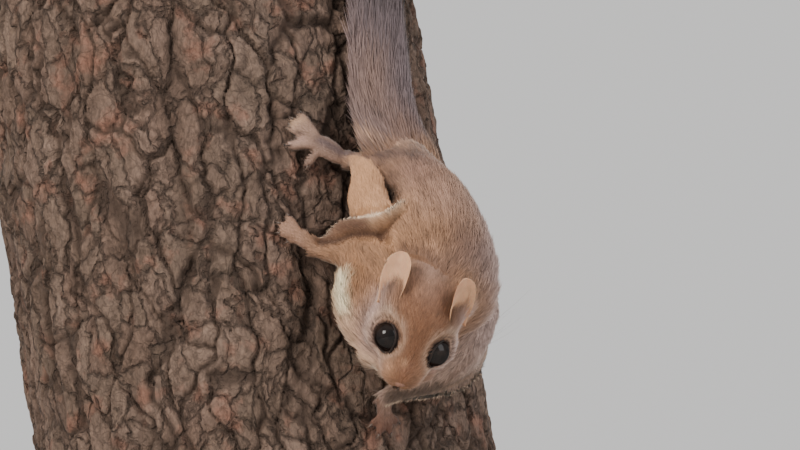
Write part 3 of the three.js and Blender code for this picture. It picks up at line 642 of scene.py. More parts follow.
# The muzzle has a finer mesh, for the line of the lips.
muzzle_middle = in_head(18.2, 0, -4)
snout_faces = [f for f in hide.faces if (f.calc_center_median() - muzzle_middle).length < 0.0085]
snout_edges = list({e for f in snout_faces for e in f.edges})
bmesh.ops.subdivide_edges(hide, edges=snout_edges, cuts=1, use_grid_fill=True)
bmesh.ops.triangulate(hide, faces=[f for f in hide.faces if len(f.verts) > 4])
hide.to_mesh(skin.data)
hide.free()


def read(collection, field, width):
    values = np.zeros(len(collection) * width)
    collection.foreach_get(field, values)
    return values.reshape(-1, width) if width > 1 else values


def eased(values, links, times, share):
    """Values drawn towards the mean of their neighbours' along the links."""
    count = np.bincount(links.ravel(), minlength=len(values))[:, None]
    for _ in range(times):
        total = np.stack([
            np.bincount(links[:, 0], values[links[:, 1], k], len(values))
            + np.bincount(links[:, 1], values[links[:, 0], k], len(values))
            for k in range(values.shape[1])
        ], 1)
        values = values + share * (total / count - values)
    return values


def unit(vectors):
    return vectors / np.maximum(np.linalg.norm(vectors, axis=-1, keepdims=True), 1e-12)


def smooth_step(low, high, values):
    t = np.clip((values - low) / (high - low), 0, 1)
    return t * t * (3 - 2 * t)


def numbers(collection, field, width):
    """Whole numbers, such as the corners of each face, as rows."""
    values = np.zeros(len(collection) * width, np.int64)
    collection.foreach_get(field, values)
    return values.reshape(-1, width)


def move_skin(places):
    """Puts the skin's points at these places, and tells which way each of them then faces."""
    skin.data.vertices.foreach_set("co", places.ravel())
    skin.data.update()
    return read(skin.data.vertices, "normal", 3)


def share_of(region_shares, names):
    """How far each point belongs to any of the named parts of the body."""
    return region_shares[:, [REGIONS.index(name) for name in names]].sum(1)


def gap_to_eyes(points):
    """How far each point lies from the middle of the nearer eye."""
    return np.min([np.linalg.norm(points - np.array(EYES[name]), axis=1) for name, _ in SIDES], 0)


skin_links = numbers(skin.data.edges, "vertices", 2)
places = read(skin.data.vertices, "co", 3)

# How near each point lies to each solid, as soft shares, so that one coat runs into the next.
gaps = np.zeros((len(places), len(REGIONS)))
for column, name in enumerate(REGIONS):
    tree = solid_tree(name)
    gaps[:, column] = [tree.find_nearest(Vector(p))[3] for p in places]
CORE_STEPS = 60
tail_steps = [k / (CORE_STEPS - 1) for k in range(CORE_STEPS)]
tail_line = np.array([along_tail(s)[0] for s in tail_steps])
nearest = np.argmin(((places[:, None, 2] - tail_line[None, :, 2]) ** 2), 1)
core_half = CORE_SHARE * np.array([TAIL_HALF * narrowing(s) for s in tail_steps])[nearest]
gaps[:, -1] = np.maximum(np.linalg.norm(places - tail_line[nearest], axis=1) - core_half, 0)
gaps[:, -1] += 0.005 * smooth_step(0.15, 0.05, nearest / (CORE_STEPS - 1))
shares = np.exp(-(gaps - gaps.min(1, keepdims=True)) / 0.0016)
shares = eased(shares / shares.sum(1, keepdims=True), skin_links, 6, 0.5)
shares /= shares.sum(1, keepdims=True)
coat_table = np.array([COATS[name][:5] for name in REGIONS], float)
depth = shares @ coat_table[:, 0] / 1000

from_nose = np.linalg.norm(places - np.array(muzzle_middle), axis=1)
from_eyes = gap_to_eyes(places)
firm = np.clip(0.25 + depth / 0.0016, 0.25, 1) * np.clip((from_nose - 0.004) / 0.008, 0.25, 1)
places = eased(places, skin_links, 9, 0.5 * firm[:, None])
joint = np.clip((1 - shares.max(1)) * 3.5 - 0.2, 0, 1) * (1 - np.clip(3 * share_of(shares, FEET), 0, 1))
joint *= 1 - smooth_step(0.05, 0.3, share_of(shares, ["membrane_right"]))
joint *= smooth_step(0.0062, 0.0085, from_eyes) * smooth_step(0.006, 0.010, from_nose)
joint = eased(joint[:, None], skin_links, 6, 0.5)
places = eased(places, skin_links, 50, 0.5 * joint)
facing = unit(eased(move_skin(places), skin_links, 3, 0.5))
swelled = np.maximum(shares @ np.array([SWELL[n] for n in REGIONS]) - LEAST_SWELL, 0)
places = places - facing * (depth + swelled + 0.0001)[:, None]
places = eased(places, skin_links, 2, 0.3 * firm[:, None])


def head_frame(points):
    """Places in the head's own directions, in mm: ahead, right and crownwards."""
    away = (points - np.array(HEAD_MIDDLE)) * 1000
    return away @ np.array([NOSEWARDS, RIGHTWARDS, CROWNWARDS]).T


hide_tree = BVHTree.FromPolygons(places.tolist(), [f.vertices[:] for f in skin.data.polygons])


def laid(line):
    """A line of places let down onto the skin, with a point about every 1.5 mm."""
    dense = []
    for start, end in zip(line, line[1:]):
        steps = max(1, round((end - start).length / 0.0015))
        dense += [start.lerp(end, k / steps) for k in range(steps)]
    dense.append(line[-1])
    return np.array([hide_tree.find_nearest(p)[0] for p in dense])


def near_line(points, corners, width, softness=1.0):
    """A bell-shaped share from 1 on a laid line to nothing beyond some widths (in mm) of it."""
    reach = 2.6 * width / 1000
    share = np.zeros(len(points))
    close = np.flatnonzero(((points > corners.min(0) - reach) & (points < corners.max(0) + reach)).all(1))
    if not len(close):
        return share
    here = points[close]
    nearest = np.linalg.norm(here - corners[0], axis=1)
    for start, end in zip(corners, corners[1:]):
        run = end - start
        along = np.clip((here - start) @ run / max(run @ run, 1e-12), 0, 1)
        nearest = np.minimum(nearest, np.linalg.norm(here - start - along[:, None] * run, axis=1))
    share[close] = np.exp(-softness * (nearest * 1000 / width) ** 2)
    return share


def spots(*given):
    return [by_trunk(*s) for s in given]


# Folds of the loose skin, as lines with a half width and a depth in mm: the crease where the right
# membrane comes out from under the thigh and the hole at its end, the hollow under that membrane's
# rim, which runs out in a dent, the crease behind the head, and one along the left membrane.
THIGH_CREASE = spots((33, 15.5, 25.4), (34.3, 19.5, 22.8), (33.9, 23.5, 19), (33.7, 25.8, 16),
                     (33.6, 27.3, 13.4), (33.4, 28.4, 10.5))
CREASE_HOLE = spots((34, 27, 13.8), (33.7, 28.1, 11.6))
FLAP_HOLLOW = spots((23.6, 7, 1.8), (25.2, 12.5, 2.4), (26.9, 17.5, 2.2), (28.6, 22.5, 1), (30.2, 27, -0.4))
FLAP_END = spots((30.6, 26, -0.6), (31.6, 28.4, 1), (32.5, 31, 3.4))
FLAP_RIM = spots((23.9, 4.8, 4.2), (26, 12.6, 7), (27.8, 17.6, 7.4), (29.6, 23.8, 6.2), (31, 29.5, 6.6),
                 (32.5, 34.3, 8))
CHIN_RIM = spots((32.2, 6.5, -51.6), (38, 10.3, -52), (43, 13, -51.8), (47.5, 14, -50.6), (51, 14.5, -48.6),
                 (58, 15, -39), (62, 14.5, -24), (64, 12, -8), (65, 7.5, 8))
CHIN_BAND = spots((33, 9, -49.6), (36.5, 10.6, -50), (40, 12.4, -49.8), (44, 14.6, -48.6), (49, 16, -45.6),
                  (56, 16, -37))
NAPE_CREASE = spots((31.6, 28, -7.5), (33, 32.7, -9.4), (33.8, 37.6, -11.6), (35.2, 40.9, -14.9),
                    (36.6, 42.8, -18))
FOLDS = [
    (THIGH_CREASE, 1.35, 2.7),
    (CREASE_HOLE, 1.8, 1.7),
    (FLAP_HOLLOW, 2.4, 2.6),
    (FLAP_END, 1.7, 1.3),
    (spots((32.5, 34.3, 8)), 2.4, 1.3),
    (NAPE_CREASE, 1.3, 1.1),
    (CHIN_BAND, 1.8, 0.9),
]


# Round the eyes the skin folds in under the lids. At the muzzle it has the line of the lips and the
# groove under the nose.
for name, side in SIDES:
    eye = np.array(EYES[name])
    away = places - eye
    far = np.linalg.norm(away, axis=1)
    ahead_of_eye = away @ np.array(look_of(side))
    tuck = smooth_step(0.0068, 0.0051, far) * smooth_step(0.0002, 0.0016, ahead_of_eye)
    target = eye + unit(away) * (EYE_RADIUS - 0.0007)
    places = places + (target - places) * tuck[:, None]

fold_depth = sum(sunk * near_line(places, laid(line), width) for line, width, sunk in FOLDS)
folded = -unit(places * np.array([1, 1, 0])) * (fold_depth / 1000)[:, None]
places = places + folded
facing = move_skin(places)
ahead, right, up = head_frame(places).T
lip_up = -6.0 + 0.045 * (ahead - 12.7) + 0.35 * np.exp(-(right / 1.2) ** 2)
in_mouth = smooth_step(8, 12, ahead)
lip_cut = 0.00075 * np.exp(-(((up - lip_up) / 0.42) ** 2)) * in_mouth
lip_roll = 0.0003 * np.exp(-(((up - lip_up - 1.1) / 0.7) ** 2)) * in_mouth
cleft = 0.0004 * np.exp(-((right / 0.3) ** 2)) * smooth_step(-3.2, -4.4, up)
cleft *= smooth_step(-6.2, -5.6, up) * smooth_step(16.7, 18.7, ahead)
places = places + facing * (lip_roll - lip_cut - cleft)[:, None]
move_skin(places)
skin.data.shade_smooth()

pick(skin)
bpy.ops.object.mode_set(mode="EDIT")
bpy.ops.mesh.select_all(action="SELECT")
bpy.ops.uv.smart_project(angle_limit=math.radians(66), island_margin=0.002)
bpy.ops.object.mode_set(mode="OBJECT")
skin.data.uv_layers[0].name = "OFBake"


# Markings, painted shade and a painted highlight, shared by skin and fur. Each part of the body has
# its own ground colour, and these marks are laid over it: (line of places, half width in mm, colour,
# strength).
GROUND = {
    "torso": (147, 114, 92), "neck": (146, 109, 82), "head": (146, 108, 84),
    "foreleg_right": (136, 102, 78), "foreleg_left": (166, 142, 130),
    "hindleg_right": (98, 78, 69), "hindleg_left": (126, 104, 91),
    "forefoot_right": (152, 120, 102), "forefoot_left": (112, 82, 70),
    "hindfoot_right": (158, 130, 116), "hindfoot_left": (152, 124, 108),
    "membrane_right": (186, 142, 108), "membrane_left": (148, 122, 106), "tail": (112, 96, 96),
}
# The dark band along the crease behind the head is painted shade in that crease.
NAPE_CREASE_SHADE = spots((32.6, 30.5, -7.6), (33.8, 35.6, -9.8), (35.4, 39.6, -13), (37, 42, -16.4))
# A band of painted shadow between the cheek and the left membrane.
CHEEK_SHADOW_BAND = spots((42, 15.4, -49), (44.1, 18, -47.2), (45.6, 21, -44.4), (46.9, 23.8, -41.2))
WHITE = (240, 226, 192)
BROWN = (126, 88, 65)
GREY = (186, 158, 148)
CREAM = (214, 182, 154)
DARK = (74, 56, 47)
MARKS = [
    # back and flanks
    (spots((41, 40, 6)), 12, (160, 128, 112), 0.7),
    (spots((39, 42, -12), (43, 40, -15)), 7, (104, 80, 70), 0.85),
    (spots((36, 40, -6)), 6, (142, 107, 82), 0.7),
    (spots((30, 32, -8)), 8, (160, 120, 90), 0.8),
    (spots((49, 36, -4), (47, 38, -20), (51, 28, -34)), 10, (168, 146, 141), 0.85),
    (spots((38, 32, 17), (42, 30, 20)), 9, (128, 99, 87), 0.8),
    (spots((31, 24, -5), (34, 34, -4)), 4, (154, 116, 88), 0.6),
    # painted shade along the crease behind the head
    (NAPE_CREASE_SHADE, 1.7, (100, 74, 60), 0.65),
    # thigh and the crease beside the right membrane, with painted shade on the thigh behind the membrane, in
    # the crease and in the hole at its end
    # painted shade on the thigh behind the right membrane
    (spots((35.5, 15, 27), (38.5, 20, 24), (40, 26, 20)), 4.2, (92, 71, 63), 0.9),
    (spots((36.6, 11, 30), (38.6, 15, 29.4), (41, 18.6, 29), (46, 20, 26)), 1.5, (186, 150, 124), 0.75),
    # painted shade beside the crease
    (spots((35.4, 23, 20), (35.4, 26, 15)), 2.2, (108, 82, 68), 0.8),
    # painted shade in the crease
    (THIGH_CREASE, 1.2, (78, 62, 52), 0.85),
    # painted shade in the hole at the end of the crease
    (CREASE_HOLE, 2.0, (34, 27, 23), 0.98),
    # shank and toes of the right hind foot, with painted shade in the gaps between the toes
    (spots((34, 7, 28.6), (32.3, 6, 30), (29.7, 6, 32.7), (27.6, 5.2, 35)), 2.3, (94, 80, 80), 0.9),
    # painted shade in the gaps between the toes
    (spots((23.3, 3, 38.8), (25, 3, 38)), 0.8, (84, 66, 58), 0.85),
    (spots((23.4, 3, 33.2), (26, 3.4, 32.8)), 0.8, (84, 66, 58), 0.85),
    (spots((22, 2.6, 42.5), (24.5, 2.6, 43.5)), 1.8, (194, 160, 132), 0.7),
    (spots((21.4, 2.6, 35.6), (24, 3, 35.8)), 1.3, (180, 148, 136), 0.7),
    # throat and neck
    (spots((22.7, 17, -13.6), (21.9, 18, -18.4), (22, 19.5, -24)), 3.1, WHITE, 1.0),
    (spots((25, 15.6, -6.6), (23.4, 16.4, -9.2)), 2.6, (146, 110, 84), 0.95),
    (spots((26.5, 17, -8), (24.9, 22, -14), (24, 23, -20), (24.2, 24, -26)), 2.8, (142, 104, 76), 0.95),
    (spots((22.8, 19, -29), (24.4, 18, -35), (27.5, 21, -40)), 4.5, (192, 160, 136), 0.85),
    # face
    ([in_head(15, 0, 4.5), in_head(11, 0, 7)], 4.4, BROWN, 0.95),
    ([in_head(9, 0, 8.6), in_head(3, 0, 11), in_head(-1, 0, 12)], 6.8, BROWN, 1.0),
    ([in_head(-1, 6, 11.4), in_head(3.5, 6.2, 9.2)], 2.8, BROWN, 0.85),
    ([in_head(-1, -6, 11.4), in_head(3.5, -6.2, 9.2)], 2.8, BROWN, 0.85),
    ([in_head(-5, 0, 12)], 6.0, (160, 122, 102), 0.75),
    ([in_head(17, 0, 1)], 2.6, (132, 94, 74), 0.8),
    # painted highlight on the bridge of the nose
    ([in_head(16.4, 1.2, 2.4)], 1.1, (190, 150, 120), 0.7),
    ([in_head(-12, 2, 11)], 6, (160, 128, 112), 0.8),
    ([in_head(-2, 14, 2), in_head(4, 14.4, -1.5), in_head(12, 10.5, -5)], 5.0, GREY, 0.95),
    ([in_head(-1, -14, 2), in_head(5, -14.4, -2.5), in_head(11, -10.5, -5)], 4.6, (194, 168, 162), 0.9),
    ([in_head(15.2, 5.2, -3.4)], 2.8, (198, 166, 148), 0.8),
    ([in_head(15.2, -5.2, -3.4)], 2.8, (196, 166, 148), 0.85),
    ([in_head(17.5, 3.6, -1.6)], 2.0, (182, 140, 112), 0.85),
    ([in_head(15, 0, -9), in_head(8, 0, -10)], 4.5, (214, 196, 172), 0.9),
    ([in_head(20.0, 0, -0.6)], 1.8, (140, 98, 74), 0.8),
    # dark hairs at the roots of the ears, and painted shadow along the inner edge of the right ear
    ([in_head(-7, 14.6, 3.6), in_head(-2.2, 14.4, 1.0)], 0.8, DARK, 0.7),
    ([in_head(-4.4, 11.9, 7.2), in_head(-2.7, 12.1, 6.7), in_head(-0.7, 12.6, 5.2)], 0.8, DARK, 0.8),
    # painted shadow along the inner edge of the right ear
    ([in_head(-6, 7.0, 10.7), in_head(-3.4, 7.4, 10.4)], 0.5, DARK, 0.3),
    ([in_head(-6, -4.8, 11.8), in_head(-1.6, -4.9, 11.3)], 0.5, DARK, 0.25),
    ([in_head(-3.4, -10.6, 8.2), in_head(-0.8, -10.4, 8.0)], 0.7, DARK, 0.5),
    # the flap along the right forearm: brown inside, dark fur with painted shade in its hollow and where the
    # hollow runs out, pale on its rim
    (spots((24, 7, 4), (25.4, 12, 5), (27.2, 17, 5), (29, 22, 4)), 2.6, (116, 87, 72), 0.95),
    # dark fur of the flap, with painted shade in its hollow
    (FLAP_HOLLOW, 2.0, (70, 51, 42), 0.9),
    # painted shade where the hollow runs out
    (FLAP_END, 1.3, (96, 70, 56), 0.8),
    (spots((29.4, 25, 5.6), (30.8, 30, 5), (32.3, 34, 6)), 2.2, CREAM, 0.9),
    (FLAP_RIM, 0.9, (232, 208, 184), 0.9),
    # the left membrane: painted shadow beside the cheek, dark edge bands deepened with painted shade, painted
    # shade along its outer side, and its pale rim
    # painted shadow between the cheek and the membrane
    (CHEEK_SHADOW_BAND, 1.5, (114, 90, 78), 0.6),
    # dark edge fur, deepened with painted shade in the crease above the rim
    (CHIN_BAND, 2.2, (98, 82, 72), 0.9),
    (spots((33, 10, -48.4), (36, 11.5, -48.5), (39.5, 13.5, -48.6), (43, 15, -48)), 2.0, (88, 72, 62), 0.9),
    (spots((33, 8, -50), (35.5, 9.6, -50.4), (40, 12.4, -50.4)), 1.6, (94, 78, 68), 0.9),
    (CHIN_RIM, 0.6, (206, 182, 160), 0.85),
    # painted shade along the outer side of the left membrane
    (spots((60, 16, -30), (63, 14, -14), (63.5, 12, 0)), 3.0, (104, 84, 74), 0.6),
    # tail: browner at its root, lighter and greyer along its right edge as painted soft light, and darker to
    # its end
    (spots((45, 12, 30)), 8, (136, 108, 96), 0.8),
    (spots((40, 9, 38), (41, 9, 50)), 7, (126, 102, 91), 0.75),
    # painted soft light along the tail's right edge
    (spots((51, 9, 44), (52, 9, 66)), 6, (124, 109, 111), 0.75),
    (spots((45, 9, 64)), 9, (100, 89, 92), 0.7),
    (spots((46, 9, 76)), 10, (74, 64, 64), 0.9),
    (spots((49, 9, 100)), 20, (56, 48, 48), 0.92),
]
laid_marks = [(laid(line), width, colour, strength) for line, width, colour, strength in MARKS]
BELLY = ("torso", "neck", "membrane_left", "foreleg_left")


def pigment(colour):
    return np.array(tint(*colour)[:3])


def marked(points, normals, region_shares):
    """The colour of skin or hair roots at places on the body, painted shade and highlight included."""
    colours = region_shares @ np.array([pigment(GROUND[name]) for name in REGIONS])
    to_bark = -unit(points * np.array([1, 1, 0]))
    under = smooth_step(0.25, 0.75, (normals * to_bark).sum(1)) * share_of(region_shares, BELLY)
    from_eye = gap_to_eyes(points) * 1000
    layers = [(WHITE, 0.9 * under), ((196, 170, 150), 0.7 * np.exp(-(((from_eye - 7.2) / 1.1) ** 2)))]
    layers += [(colour, strength * near_line(points, line, width, 1.1))
               for line, width, colour, strength in laid_marks]
    layers += [((190, 160, 138), 0.45 * np.exp(-(((from_eye - 6.6) / 0.55) ** 2))),
               ((52, 38, 33), smooth_step(6.1, 5.3, from_eye))]
    for colour, share in layers:
        colours += (pigment(colour) - colours) * share[:, None]
    grey = colours.mean(1, keepdims=True)
    return np.maximum(grey + 1.06 * (colours - grey), 0.002)


facing = read(skin.data.vertices, "normal", 3)
skin_colours = marked(places - folded, facing, shares)
paint_points(skin, "Coat", np.hstack([skin_colours * 0.8, np.ones((len(places), 1))]))

hide_finish = finish_of("furred_hide", 0.85, Specular_IOR_Level=0.2)
hide_marks = put(hide_finish, "Attribute", attribute_name="Coat").outputs["Color"]
underfur = grain(hide_finish, 1500, 5, (1, 1, 0.35), 0.65)
underfur_shade = ramp(hide_finish, underfur, [(0.3, (0.62, 0.6, 0.58, 1)), (0.7, (1.15, 1.13, 1.1, 1))])
wire(hide_finish, Base_Color=blend(hide_finish, 1.0, hide_marks, underfur_shade, "MULTIPLY"))
wire(hide_finish, Normal=bump(hide_finish, underfur, 0.0005, 0.8))
skin.data.materials.append(hide_finish)
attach(skin, "root")
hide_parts(*REGIONS)


# Fur: soft tapered hairs in overlapping tufts, rooted in the hide and laid back along the body,
# shortest on face and feet. Each is a thin closed wedge that thins to its tip.
draw = np.random.default_rng(20)


def lie_on(name, points):
    """The way that the hair of one part of the body runs at each place."""
    if name == "head":
        right, up = head_frame(points).T[1:]
        return unit(-np.array(NOSEWARDS)
                    + np.array(RIGHTWARDS) * (0.045 * right)[:, None]
                    + np.array(CROWNWARDS) * (0.045 * (up + 1))[:, None])
    line = spots(*COATS[name][5])
    arrows = list(zip(line, line[1:]))
    arrows += [(by_trunk(*start), by_trunk(*end)) for part, start, end in EXTRA_LIES if part == name]
    lie = np.zeros((len(points), 3))
    for start, end in arrows:
        gap = np.linalg.norm(points - np.array((start + end) / 2), axis=1) * 1000
        lie += np.array((end - start).normalized()) / (gap[:, None] ** 2 + 4) ** 2
    return unit(lie)


skin_lies = sum(lie_on(name, places) * shares[:, column][:, None] for column, name in enumerate(REGIONS))
skin_lies = unit(eased(unit(skin_lies), skin_links, 8, 0.5))

skin.data.calc_loop_triangles()
triangle_corners = numbers(skin.data.loop_triangles, "vertices", 3)
triangle_loops = numbers(skin.data.loop_triangles, "loops", 3)
skin_unwrap = read(skin.data.uv_layers["OFBake"].data, "uv", 2)

fur_finish = finish_of("soft_fur", 0.72, Specular_IOR_Level=0.3, Sheen_Weight=0.15, Sheen_Roughness=0.5)
fur_marks = put(fur_finish, "Attribute", attribute_name="Coat").outputs["Color"]
mottle = ramp(fur_finish, grain(fur_finish, 260, 4, (1, 1, 0.6), 0.6), [
    (0.32, (0.86, 0.85, 0.84, 1)),
    (0.68, (1.12, 1.12, 1.12, 1)),
])
wire(fur_finish, Base_Color=blend(fur_finish, 1.0, fur_marks, mottle, "MULTIPLY"))
PATCH_HALF = 0.0015  # of each hair's small patch of the unwrapped skin


def hair_piece(name, roots, normals, lies, lengths, widths, lifts, colours, unwrap, rings, gather,
               bend=0.4, root_shade=0.55, drift=0.12):
    """Many like hairs as one mesh: rings of three points and a tip each, closed at the root."""
    count = len(roots)
    lies = unit(lies - normals * (lies * normals).sum(1, keepdims=True))
    sides = np.cross(lies, normals)
    turn = draw.normal(0, drift, count)[:, None]
    lies = unit(lies + sides * turn)
    sides = np.cross(lies, normals)
    sway = draw.normal(0, 0.08, count)[:, None]
    lift = np.tan(np.radians(lifts))[:, None]
    stations = np.linspace(0, 1, rings + 1)
    fatness = np.array([0.8] + [1.0 - 0.35 * s for s in stations[1:-1]])
    length = lengths[:, None]
    width = widths[:, None]
    points = np.zeros((count, 3 * rings + 1, 3))
    shading = np.zeros_like(points)
    tones = np.zeros((count, 3 * rings + 1, 4))
    patch = np.zeros((count, 3 * rings + 1, 2))
    tones[:, :, 3] = 1
    for k, s in enumerate(stations):
        rise = length * lift * (s - bend * s * s) - 0.00025 * (1 - s)
        spine = roots + lies * (length * s) + sides * (length * sway * s * s) + normals * rise
        spine = spine + gather * (s * s)
        # Each hair is painted darker towards its root, as shade deep in the coat, and a touch lighter at its
        # tip.
        tone = colours * (root_shade + (1.06 - root_shade) * min(1, 0.15 + 1.2 * s))
        if k == rings:
            points[:, -1] = spine
            shading[:, -1] = unit(0.8 * normals + 0.2 * lies)
            tones[:, -1, :3] = tone
            patch[:, -1] = unwrap + np.array([0, PATCH_HALF])
            continue
        half = 0.5 * width * fatness[k]
        points[:, 3 * k] = spine - sides * half
        points[:, 3 * k + 1] = spine + normals * (0.7 * half)
        points[:, 3 * k + 2] = spine + sides * half
        shading[:, 3 * k] = unit(0.72 * normals - 0.6 * sides)
        shading[:, 3 * k + 1] = normals
        shading[:, 3 * k + 2] = unit(0.72 * normals + 0.6 * sides)
        for j, aside in enumerate((-PATCH_HALF, 0, PATCH_HALF)):
            tones[:, 3 * k + j, :3] = tone
            patch[:, 3 * k + j] = unwrap + np.array([aside, 2 * PATCH_HALF * s - PATCH_HALF])
    faces = [(0, 2, 1)]
    for k in range(rings - 1):
        for j in range(3):
            a, b = 3 * k + j, 3 * k + (j + 1) % 3
            faces += [(a, b, b + 3), (a, b + 3, a + 3)]
    last = 3 * (rings - 1)
    faces += [(last + j, last + (j + 1) % 3, 3 * rings) for j in range(3)]
    faces = np.array(faces)
    corners = (faces[None] + (np.arange(count) * (3 * rings + 1))[:, None, None]).reshape(-1)
    made = bpy.data.meshes.new(name)
    made.vertices.add(points.shape[0] * points.shape[1])
    made.vertices.foreach_set("co", points.astype(np.float32).ravel())
    made.loops.add(len(corners))
    made.loops.foreach_set("vertex_index", corners.astype(np.int32))
    made.polygons.add(len(corners) // 3)
    made.polygons.foreach_set("loop_start", np.arange(0, len(corners), 3, dtype=np.int32))
    made.update(calc_edges=True)
    made.shade_smooth()
    layer = made.uv_layers.new(name="OFBake")
    layer.data.foreach_set("uv", patch.reshape(-1, 2)[corners].astype(np.float32).ravel())
    made.normals_split_custom_set_from_vertices(shading.reshape(-1, 3).tolist())
    piece = put_in_scene(name, made)
    paint_points(piece, "Coat", tones.reshape(-1, 4))
    return piece


def even_roots(density):
    """Even random roots on the hide, with this many to the square mm at each of its points."""
    a, b, c = (places[triangle_corners[:, k]] for k in range(3))
    area = 0.5 * np.linalg.norm(np.cross(b - a, c - a), axis=1) * 1e6
    wanted = np.cumsum(area * density[triangle_corners].mean(1))
    count = int(wanted[-1])
    picked = np.searchsorted(wanted, (np.arange(count) + draw.random(count)) * wanted[-1] / count)
    picked = np.minimum(picked, len(wanted) - 1)
    u, v = draw.random(count), draw.random(count)
    over = u + v > 1
    u[over], v[over] = 1 - u[over], 1 - v[over]
    weights = np.stack([1 - u - v, u, v], 1)
    return picked, weights


def at_roots(values, picked, weights):
    return (values[triangle_corners[picked]] * weights[:, :, None]).sum(1)


density = shares @ coat_table[:, 3]
density *= smooth_step(0.9, 1.6, from_nose * 1000 / 2.4)
picked, weights = even_roots(density)
roots = at_roots(places, picked, weights)
root_normals = unit(at_roots(facing, picked, weights))
root_lies = at_roots(skin_lies, picked, weights)
root_shares = at_roots(shares, picked, weights)
root_unwrap = (skin_unwrap[triangle_loops[picked]] * weights[:, :, None]).sum(1)
unfolded_roots = at_roots(places - folded, picked, weights)
root_colours = marked(unfolded_roots, root_normals, root_shares)
root_region = root_shares.argmax(1)

count = len(roots)
lengths = root_shares @ coat_table[:, 1] / 1000 * draw.uniform(0.75, 1.15, count)
widths = root_shares @ coat_table[:, 2] / 1000 * draw.uniform(0.75, 1.2, count)
lifts = root_shares @ coat_table[:, 4] * draw.uniform(0.6, 1.5, count)


def tufted(points, normals, size, pull):
    """Which tuft each hair belongs to, and how far its tip is drawn to the tuft's middle."""
    cell = np.floor(points / size[:, None] + 0.7 * np.sin(points[:, [1, 2, 0]] * 900)).astype(np.int64)
    key = (cell * np.array([73856093, 19349663, 83492791])).sum(1)
    tuft = np.unique(key, return_inverse=True)[1].reshape(-1)
    members = np.bincount(tuft)
    middle = np.stack([np.bincount(tuft, points[:, k]) / members for k in range(3)], 1)
    drawn = pull[:, None] * (middle[tuft] - points)
    return tuft, drawn - normals * (drawn * normals).sum(1, keepdims=True)


# Tufts and hairs differ in tone: most are tan, some are dark and a few are pale.
on_sheets = share_of(root_shares, ["membrane_right", "membrane_left"])
tuft, gather = tufted(roots, root_normals, (1.1 + 0.9 * (root_shares @ coat_table[:, 1] > 3)) / 1000,
                      0.8 - 0.5 * on_sheets)
tuft_tone = draw.normal(1, 0.07, tuft.max() + 1)
tuft_tone[draw.random(len(tuft_tone)) < 0.13] *= 0.85
furry = 1 - share_of(root_shares, FEET + ["membrane_right"])
ticking = draw.normal(1, 0.12, count) * (1 + (tuft_tone[tuft] - 1) * (0.4 + 0.6 * furry))
ticking *= np.where(draw.random(count) < 0.13 * furry, 0.66, 1)
ticking *= np.where(draw.random(count) < 0.07, 1.22, 1)
root_colours = root_colours * ticking[:, None]

# Hair is shorter on the rims of the membranes, and where it would hide a crease: (line, width, cut).
on_rims = near_line(roots, laid(FLAP_RIM), 1.6) + 0.6 * near_line(roots, laid(CHIN_RIM), 1.6)
lengths *= np.clip(1.25 - on_rims, 0.45, 1)
ends = unfolded_roots + root_lies * lengths[:, None]
CREASE_CUTS = [
    (THIGH_CREASE, 1.5, 0.5),
    (CREASE_HOLE, 3.4, 0.93),
    (FLAP_HOLLOW, 2.6, 0.78),
    (FLAP_END, 1.7, 0.6),
    (NAPE_CREASE, 1.5, 0.5),
]
for line, width, shorter in CREASE_CUTS:
    near = np.maximum(near_line(ends, laid(line), width), near_line(unfolded_roots, laid(line), 0.7 * width))
    lengths *= 1 - shorter * near

# Round each ear's root the fur is longer and stands up along the ear, over its lower third.
EAR_LEANS = {"right": (-0.78, 0.6, 0.15), "left": (-0.46, 0.88, -0.08)}


def ear_axis(name, side):
    ahead, up, outward = EAR_LEANS[name]
    return (NOSEWARDS * ahead + CROWNWARDS * up + RIGHTWARDS * (outward * side)).normalized()


for name, side in SIDES:
    ear_base = np.array(in_head(-2.4, 11.6 * side, 6.6))
    by_ear = smooth_step(7.0, 3.6, np.linalg.norm(roots - ear_base, axis=1) * 1000)
    up_ear = np.array(ear_axis(name, side))
    root_lies = unit(root_lies * (1 - 0.85 * by_ear)[:, None] + up_ear * (0.85 * by_ear)[:, None])
    lengths *= 1 + 1.2 * by_ear
    lifts = lifts + 20 * by_ear

# Hairs that would run into the trunk or an eye are left out.
laid_flat = unit(root_lies - root_normals * (root_lies * root_normals).sum(1, keepdims=True))
tips = roots + laid_flat * lengths[:, None]
kept = np.hypot(tips[:, 0], tips[:, 1]) > BARK_RADIUS - 0.0014
kept &= np.hypot(roots[:, 0], roots[:, 1]) > BARK_RADIUS - 0.0010
for name, side in SIDES:
    eye = np.array(EYES[name])
    kept &= np.linalg.norm(roots - eye, axis=1) > EYE_RADIUS + 0.0005
    kept &= np.linalg.norm(tips - eye, axis=1) > EYE_RADIUS + 0.0004

